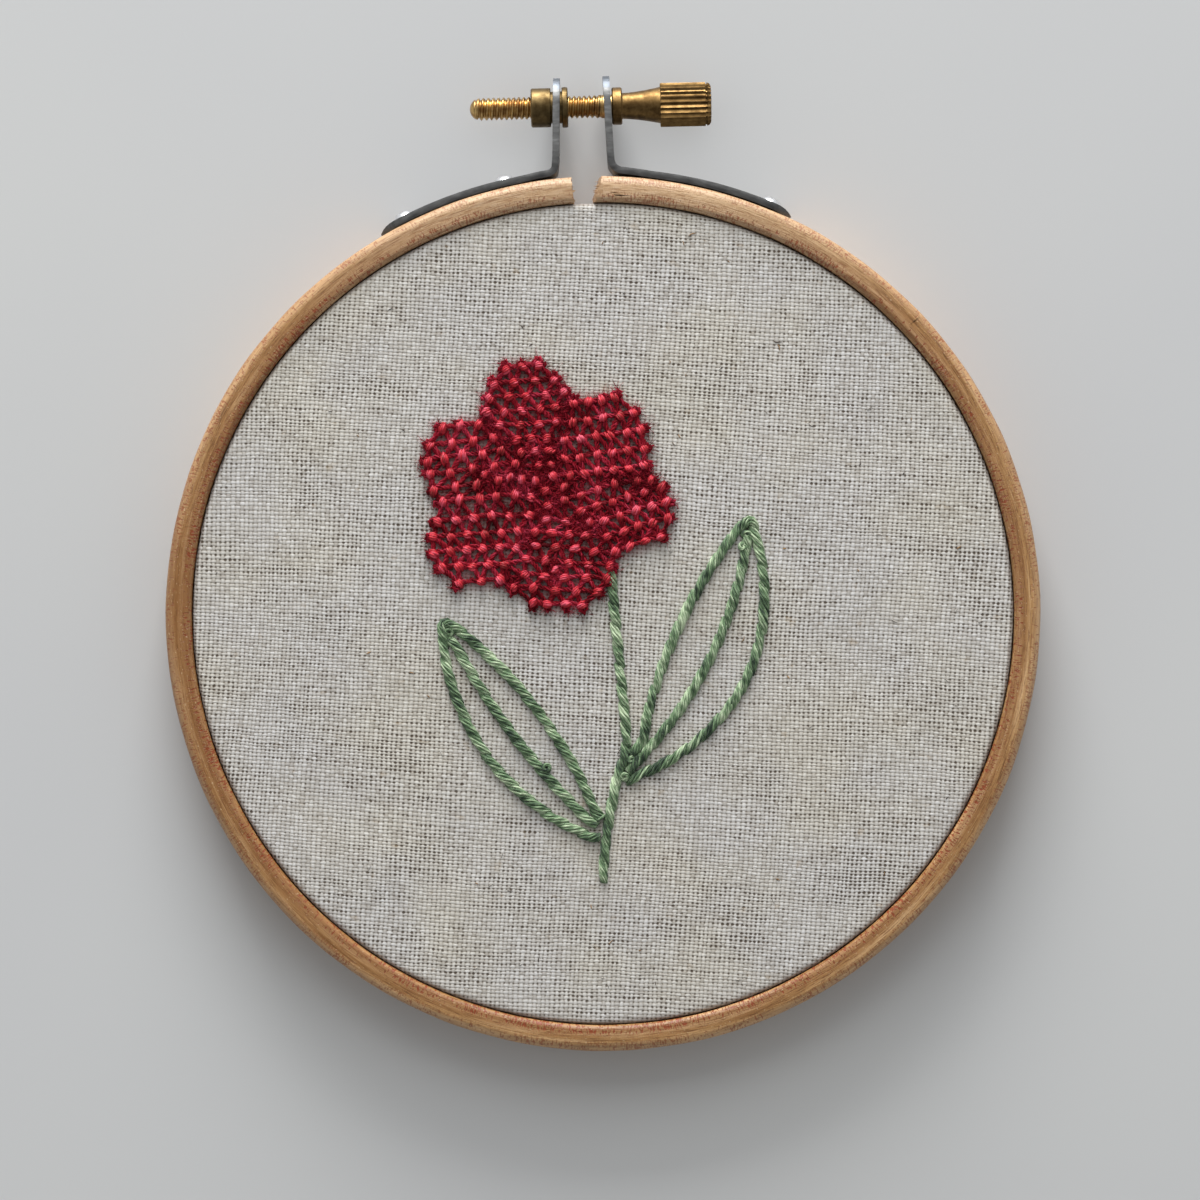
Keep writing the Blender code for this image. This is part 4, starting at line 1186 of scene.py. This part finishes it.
def strip_path(strip):
    """Points along the middle of a strip, from its end on the ring to the top of its ear."""
    radius = OUTER_RADIUS + GAP + STRIP_THICKNESS / 2
    bend = strip["bend"]
    centre_x = strip["foot_x"] + bend
    centre_y = sqrt((radius + bend) ** 2 - centre_x**2)
    bend_start = atan2(centre_x, centre_y)
    turns = [STRIP_REACH - radians(t) for t in (0, 0.1, 0.3, 0.6, 1.0, 1.5, 2.1, 2.8, 3.5)]
    count = 26
    turns += [turns[-1] + (bend_start - turns[-1]) * i / count for i in range(1, count + 1)]
    points = []
    for turn in turns:
        close = radius - HUG * min(1.0, (turn - bend_start) / radians(4))
        # The strip's end was hammered down into the wood.
        close -= 0.45 * MM * max(0.0, 1 - (STRIP_REACH - turn) / radians(1.9)) ** 2
        points.append((close * sin(turn), close * cos(turn)))
    first, last = -pi / 2 - bend_start, -pi - ear_lean(strip)
    bend_steps = 12
    for i in range(1, bend_steps + 1):
        turn = first + (last - first) * i / bend_steps
        points.append((centre_x + bend * cos(turn), centre_y + bend * sin(turn)))
    tip = STRIP_WIDTH / 2
    foot = points[-1][1]
    straight, tip_steps = 8, 14
    heights = [foot + (EAR_TOP - tip - foot) * i / straight for i in range(1, straight + 1)]
    heights += [EAR_TOP - tip + tip * sin(pi / 2 * i / tip_steps) for i in range(1, tip_steps + 1)]
    points += [(ear_x(strip, height), height) for height in heights]
    return [Vector((strip["side"] * x, y, 0)) for x, y in points]


def add_strip(name, strip, steel):
    """A flat strip with rounded ends and eased edges, bent round the ring and up into an ear."""
    points = strip_path(strip)
    lengths = [0.0]
    for a, b in zip(points, points[1:]):
        lengths.append(lengths[-1] + (b - a).length)
    half = STRIP_WIDTH / 2
    narrowest = 0.12
    shares = (-1, -0.6, 0, 0.6, 1)
    bm = bmesh.new()
    row = [bm.verts.new((0, 0, 0)) for _ in shares]
    edges = [bm.edges.new(pair) for pair in zip(row, row[1:])]
    for i, (point, length) in enumerate(zip(points, lengths)):
        if i:
            made = bmesh.ops.extrude_edge_only(bm, edges=edges)["geom"]
            row = [v for v in made if isinstance(v, bmesh.types.BMVert)]
            edges = [e for e in made if isinstance(e, bmesh.types.BMEdge) and set(e.verts) <= set(row)]
            row.sort(key=lambda v: v.co.z)
        from_end = min(length, lengths[-1] - length, half)
        reach = half * max(narrowest, sqrt(1 - (1 - from_end / half) ** 2))
        for vertex, share in zip(row, shares):
            vertex.co = point + Vector((0, 0, CLASP_Z + share * reach))
    blank = in_scene(name + "_blank", finished_mesh(bm))
    thicken = blank.modifiers.new("thickness", "SOLIDIFY")
    thicken.thickness = SHEET
    thicken.offset = 0
    thicken.use_even_offset = True
    punch = finished_mesh(
        spun([(0, -2 * MM), (strip["hole"], -2 * MM), (strip["hole"], 2 * MM), (0, 2 * MM)], "X", 40)
    )
    punch.transform(
        CLASP.inverted() @ SCREW @ Matrix.Translation((strip["side"] * ear_x(strip, SCREW_FROM_CENTRE), 0, 0))
    )
    cutter = carve(blank, punch)
    ease = blank.modifiers.new("eased_edges", "BEVEL")
    ease.width = 0.14 * MM
    ease.segments = 2
    ease.limit_method = "ANGLE"
    ease.angle_limit = radians(55)
    mesh = settled_mesh(blank, cutter)
    mesh.transform(CLASP)
    place_piece(name + "_metal", mesh, steel, [name], sharp=40)


def add_rivet(name, turn, aluminium):
    """A low round head, slightly flattened by the setting tool, its axis along the ring's radius."""
    outline = (
        (0, 0.93), (0.3, 0.95), (0.42, 1), (0.6, 0.88), (0.78, 0.66), (0.92, 0.36), (1, 0.08), (1, 0), (0, 0),
    )
    bm = spun([(out * RIVET_RADIUS, up * RIVET_HEIGHT) for out, up in outline], "Z", 36)
    seat = OUTER_RADIUS + GAP - HUG + (STRIP_THICKNESS + SHEET) / 2
    mesh = finished_mesh(bm)
    mesh.transform(
        CLASP
        @ Matrix.Translation((seat * sin(turn), seat * cos(turn), CLASP_Z))
        @ Matrix.Rotation(-turn, 4, "Z")
        @ Matrix.Rotation(-pi / 2, 4, "X")
    )
    place_piece(name + "_head", mesh, aluminium, [name], sharp=60)


def ear_slot(strip, radius):
    """Half the room that a round piece needs along the screw to clear a leaning ear."""
    off_square = abs(ear_lean(strip) - strip["side"] * (CLASP_TURN - SCREW_TILT))
    return STRIP_THICKNESS / 2 + radius * tan(off_square) + GAP


def add_nut(brass):
    """A plain barrel with turned chamfers, a neck through the left ear and a flange behind it."""
    ear = -ear_x(STRIPS["left"], SCREW_FROM_CENTRE)
    slot = ear_slot(STRIPS["left"], NUT_RADIUS)
    start, end = ear - slot - NUT_BODY_LENGTH, ear + slot + NUT_FLANGE_LENGTH
    slot -= SNUG
    chamfer, ease = 0.16 * MM, 0.08 * MM
    profile = [
        (NUT_BORE_RADIUS, start + chamfer),
        (NUT_BORE_RADIUS + chamfer, start),
        (NUT_RADIUS - chamfer, start),
        (NUT_RADIUS, start + chamfer),
        (NUT_RADIUS, ear - slot - ease),
        (NUT_RADIUS - ease, ear - slot),
        (NUT_NECK_RADIUS, ear - slot),
        (NUT_NECK_RADIUS, ear + slot),
        (NUT_RADIUS, ear + slot),
        (NUT_RADIUS + ease, ear + slot + ease),
        (NUT_RADIUS + ease, end - 0.12 * MM),
        (NUT_RADIUS - 0.04 * MM, end),
        (NUT_BORE_RADIUS + chamfer, end),
        (NUT_BORE_RADIUS, end - chamfer),
    ]
    mesh = finished_mesh(spun(profile, "X", 56))
    mesh.transform(SCREW)
    return place_piece("barrel_nut", mesh, brass, ["nut"], sharp=35)


def add_thread(golden, end):
    """A plain rod whose surface is moved in to a helix, with a domed tip and a smooth shank."""
    row = THREAD_PITCH / 10
    rows = int((end - TIP_X) / row)
    rod = [(0, TIP_X)] + [(THREAD_RADIUS, TIP_X + 0.02 * MM + row * i) for i in range(rows)]
    bm = spun(rod + [(SHANK_RADIUS, end), (0, end)], "X", 36)
    for vertex in bm.verts:
        x, y, z = vertex.co
        radius = hypot(y, z)
        if radius < 1e-6:
            continue
        phase = (x / THREAD_PITCH - atan2(y, z) / FULL_TURN) % 1
        # A flat crest, straight flanks and a narrow root
        share = min(1.0, max(0.0, abs(2 * phase - 1) * 1.35 - 0.2))
        wanted = THREAD_RADIUS - THREAD_DEPTH * share
        if x > THREAD_END_X:
            wanted += (SHANK_RADIUS - wanted) * min(1.0, (x - THREAD_END_X) / (1.5 * MM))
        from_tip = (x - TIP_X) / (0.8 * THREAD_RADIUS)
        if from_tip < 1:
            dome = sqrt(max(0.0, 1 - (1 - from_tip) ** 2))
            wanted = min(wanted, (THREAD_RADIUS - 0.1 * MM) * dome)
        vertex.co = (x, y * wanted / radius, z * wanted / radius)
    mesh = finished_mesh(bm)
    mesh.transform(SCREW)
    return place_piece("thumbscrew_thread", mesh, golden, body="thumbscrew")


def grip_mesh(head_x):
    """The grip: ridges from its square shoulder on, a thin groove and a chamfer round the end face."""
    # Place along the grip and how far in from its radius, in mm, and the share of the ridges' depth
    stations = (
        (0.0, 0.2, 1), (0.0, 0.08, 1), (0.09, 0.0, 1), (1.2, 0, 1), (3.0, 0, 1), (5.0, 0, 1), (5.68, 0, 1),
        (5.74, 0.2, 1), (5.86, 0.2, 1), (5.92, 0.03, 1), (6.22, 0.17, 0.9), (6.34, 0.36, 0), (6.4, 0.5, 0),
    )
    same = 1e-7
    outline = [(0, head_x)]
    depths = {}
    for x, less, ridged in stations:
        place = head_x + x * MM
        outline.append((KNURL_RADIUS - less * MM, place))
        depths[round(place / same)] = ridged
    outline.append((0, head_x + KNURL_LENGTH - 0.03 * MM))
    bm = spun(outline, "X", 8 * KNURL_RIDGES)
    for vertex in bm.verts:
        x, y, z = vertex.co
        ridged = depths.get(round(x / same), 0)
        radius = hypot(y, z)
        if ridged and radius > MM:
            wave = (KNURL_RIDGES * atan2(y, z) / FULL_TURN) % 1
            groove = 1 - abs(2 * wave - 1)
            less = KNURL_DEPTH * ridged * min(1.0, groove * 1.5)
            vertex.co = (x, y * (radius - less) / radius, z * (radius - less) / radius)
    return finished_mesh(bm)


def add_thumbscrew(brass, golden):
    """A threaded rod with a domed tip, collar, flared neck and straight-knurled grip, turned from one bar."""
    collar_x = ear_x(STRIPS["right"], SCREW_FROM_CENTRE) + ear_slot(STRIPS["right"], COLLAR_RADIUS)
    neck_x = collar_x + COLLAR_LENGTH
    head_x = neck_x + NECK_LENGTH
    collar_x -= SNUG
    # The thread has a lighter, more golden colour of its own.
    thread = add_thread(golden, neck_x - COLLAR_LENGTH / 2)
    neck = []
    for i in range(9):
        t = i / 8
        # A slender waist by the collar that flares in a hollow curve towards the grip
        neck.append(((1.62 + 0.66 * t**1.5) * MM, neck_x + 0.12 * MM + (NECK_LENGTH - 0.12 * MM) * t))
    edge = 0.15 * MM
    body = [
        (0, collar_x),
        (COLLAR_RADIUS - edge, collar_x),
        (COLLAR_RADIUS, collar_x + edge),
        (COLLAR_RADIUS, neck_x - edge),
        (COLLAR_RADIUS - edge, neck_x),
        (1.68 * MM, neck_x),
        *neck,
        (2.28 * MM, head_x + 0.5 * MM),
        (0, head_x + 0.5 * MM),
    ]
    bm = bmesh.new()
    for mesh in (finished_mesh(spun(body, "X", 64)), grip_mesh(head_x)):
        bm.from_mesh(mesh)
        bpy.data.meshes.remove(mesh)
    mesh = as_mesh(bm)
    mesh.transform(SCREW)
    head = place_piece("thumbscrew_head", mesh, brass, ["thumbscrew"], "thumbscrew", sharp=32)
    return thread, head


# ------------------------------------------------------------------ small things on the cloth


def add_flecks(shades):
    """Bits of straw and odd fibres caught in the linen."""
    # x, y in mm from the rings' centre, direction in degrees, length in mm and shade
    seen = (
        (10.5, 46.9, 60, 1.5, "straw"), (10.1, 45.8, 80, 0.9, "straw"), (8.2, 31.1, 40, 0.7, "straw"),
        (21.0, 34.6, -60, 1.7, "dark"), (21.1, 15.8, 20, 0.6, "dark"), (13.6, 15.2, 75, 0.6, "dark"),
        (-0.2, 45.9, 80, 0.8, "straw"), (17.0, -3.6, 10, 1.2, "straw"), (-21.7, -10.8, 90, 0.8, "straw"),
    )
    flecks = {"straw": [], "dark": [], "pale": []}
    for x, y, direction, length, shade in seen:
        flecks[shade].append((Vector((x, y)) * MM, radians(direction), length * MM))
    strays, farthest = 90, 49 * MM
    for _ in range(strays):
        radius, turn = farthest * sqrt(DRAWS.random()), draw(0, FULL_TURN)
        place = Vector((radius * cos(turn), radius * sin(turn)))
        shade = DRAWS.choice(("straw", "dark", "pale", "pale"))
        flecks[shade].append((place, draw(0, pi), draw(0.4, 1.2) * MM))
    for shade, found in flecks.items():
        strands = []
        for place, direction, length in found:
            bend = draw(-0.5, 0.5)
            strand = []
            for i, share in enumerate((0.3, 1.0, 0.8, 0.2)):
                place = place + heading(direction + bend * i) * length / 4
                strand.append(((*place, LINEN_TOP + 0.04 * MM + cloth_lift(place)), share))
            strands.append(strand)
        place_strands("linen_flecks_" + shade, strands, 0.13 * MM, shades[shade], sides=4)


def add_loose_ends(pale):
    """Thread ends that hang from the linen's cut edge between the rings."""
    strands = []
    count = 260
    for i in range(count):
        turn = FULL_TURN * (i + draw(-0.4, 0.4)) / count
        radius = LINEN_RADIUS - draw(0.25, 0.75) * MM
        long = draw(0.5, 1.2) * MM
        sway = draw(-0.6, 0.6) * MM
        strand = []
        for t in (0.0, 0.5, 1.0):
            at = turn + sway * t / radius
            z = LINEN_CUT_EDGE_Z + 0.3 * MM - (long + 0.1 * MM) * t
            strand.append(((radius * cos(at), radius * sin(at), max(z, 0.15 * MM)), 1 - 0.4 * t))
        strands.append(strand)
    place_strands("linen_loose_ends", strands, 0.16 * MM, pale, sides=4)


# ------------------------------------------------------------------ scene


def add_stage():
    """A pale grey table, soft light from a window beyond its top edge, and the photograph's camera."""
    m = new_material("pale_table")
    place = add(m, "TexCoord").outputs["Object"]
    cloudy = add(m, "TexNoise", Vector=place, Scale=9.0, Detail=2.0)
    colour = add(m, "ValToRGB", cloudy, stops=[(0.3, "#c8c9ca"), (0.7, "#cdcecd")])
    dress(m, colour, add(m, "MapRange", cloudy, 0, 1, 0.75, 0.85))
    bm = bmesh.new()
    bmesh.ops.create_grid(bm, x_segments=1, y_segments=1, size=2.0)
    table = in_scene("table", as_mesh(bm, "table"))
    table.data.materials.append(m)

    # The room is dim overhead and towards the bottom of the picture, where the viewer stands.
    world = bpy.data.worlds.new("room")
    world.use_nodes = True
    direction = add(world, "TexCoord").outputs["Generated"]
    to_viewer = add(world, "VectorMath DOT_PRODUCT", direction, (0, -0.4, 0.92)).outputs["Value"]
    walls = add(world, "ValToRGB", to_viewer, stops=[(0.3, "#cbcccd"), (0.9, "#8e8f90")])
    world.node_tree.links.new(walls.outputs[0], world.node_tree.nodes["Background"].inputs["Color"])
    bpy.context.scene.world = world
    # A low window lights the work from the top of the picture, and the wall over it more softly.
    for name, place, (width, height), power in (
        ("window", (-0.1, 1.25, 0.33), (0.8, 0.55), 24.5),
        ("bright_wall", (-0.1, 0.95, 0.9), (0.9, 0.7), 4.6),
    ):
        data = bpy.data.lights.new(name, "AREA")
        data.shape = "RECTANGLE"
        data.size = width
        data.size_y = height
        data.energy = power
        lamp = in_scene(name, data)
        lamp.location = place
        lamp.rotation_euler = (-Vector(place)).to_track_quat("-Z", "Y").to_euler()

    # Straight down from 0.48 m, aimed a little off the rings' centre, 0.15 m of the table's width in view
    distance, seen_width, sensor = 0.48, 0.150, 36.0
    camera = bpy.data.cameras.new("camera")
    camera.sensor_width = sensor
    camera.lens = sensor * distance / seen_width
    camera.clip_start = 0.01
    viewer = in_scene("camera", camera)
    viewer.location = (-0.375 * MM, RINGS_Y + 1.7 * MM, HOOP_DEPTH + distance)
    bpy.context.scene.camera = viewer
    bpy.context.scene.view_settings.view_transform = "Standard"


def main():
    wood = beech_wood()
    cloth = linen_cloth()
    steel = rolled_steel()
    brass = turned_metal("turned_brass", "#5b4528", "#886c43", 0.36, 0.5)
    golden = turned_metal("golden_brass_thread", "#8f6b40", "#caa970", 0.27, 0.42)
    old_brass = turned_metal("tarnished_brass", "#514128", "#766342", 0.38, 0.55)
    aluminium = turned_metal("aluminium_rivet", "#d3d5d8", "#f2f3f5", 0.3, 0.45)
    bright_red = cotton_floss("scarlet_cotton_floss", "#8a060e", "#c81028", "#de586e", 0.0, 0.5, 0.05)
    dark_red = cotton_floss("garnet_cotton_floss", "#4c0009", "#961525", "#bd3a52", 2.0, 0.1, 0.0)
    green = cotton_floss("sage_cotton_floss", "#1c3020", "#67845d", "#c3d4b0", 4.0, 0.3, 0.2)
    straw = cotton_floss("straw_fibre", "#6a4a20", "#94692f", "#b88a4a", 0.0, 0.4, 0.1)
    umber = cotton_floss("dark_fibre", "#2d2622", "#4a3c30", "#6b5a48", 0.0, 0.4, 0.1)
    pale = cotton_floss("linen_fibre", "#938a7e", "#b9b3aa", "#dad7d1", 0.0, 0.4, 0.2)

    add_outer_ring(wood)
    add_slivers(wood)
    add_inner_ring(wood)
    linen = add_linen(cloth)
    add_flower(bright_red, dark_red)
    add_greenery(green)
    add_flecks({"straw": straw, "dark": umber, "pale": pale})
    add_loose_ends(pale)
    for name, strip in STRIPS.items():
        add_strip(name + "_strip", strip, steel)
    for name, strip in STRIPS.items():
        for number, turn in enumerate(strip["rivets"], start=1):
            add_rivet(f"{name}_rivet_{number}", strip["side"] * radians(turn), aluminium)
    # In the photograph the screw throws almost no shadow, as that end of the hoop was held off the table.
    for piece in (add_nut(old_brass), *add_thumbscrew(brass, golden)):
        piece.visible_shadow = False
    add_stage()


main()
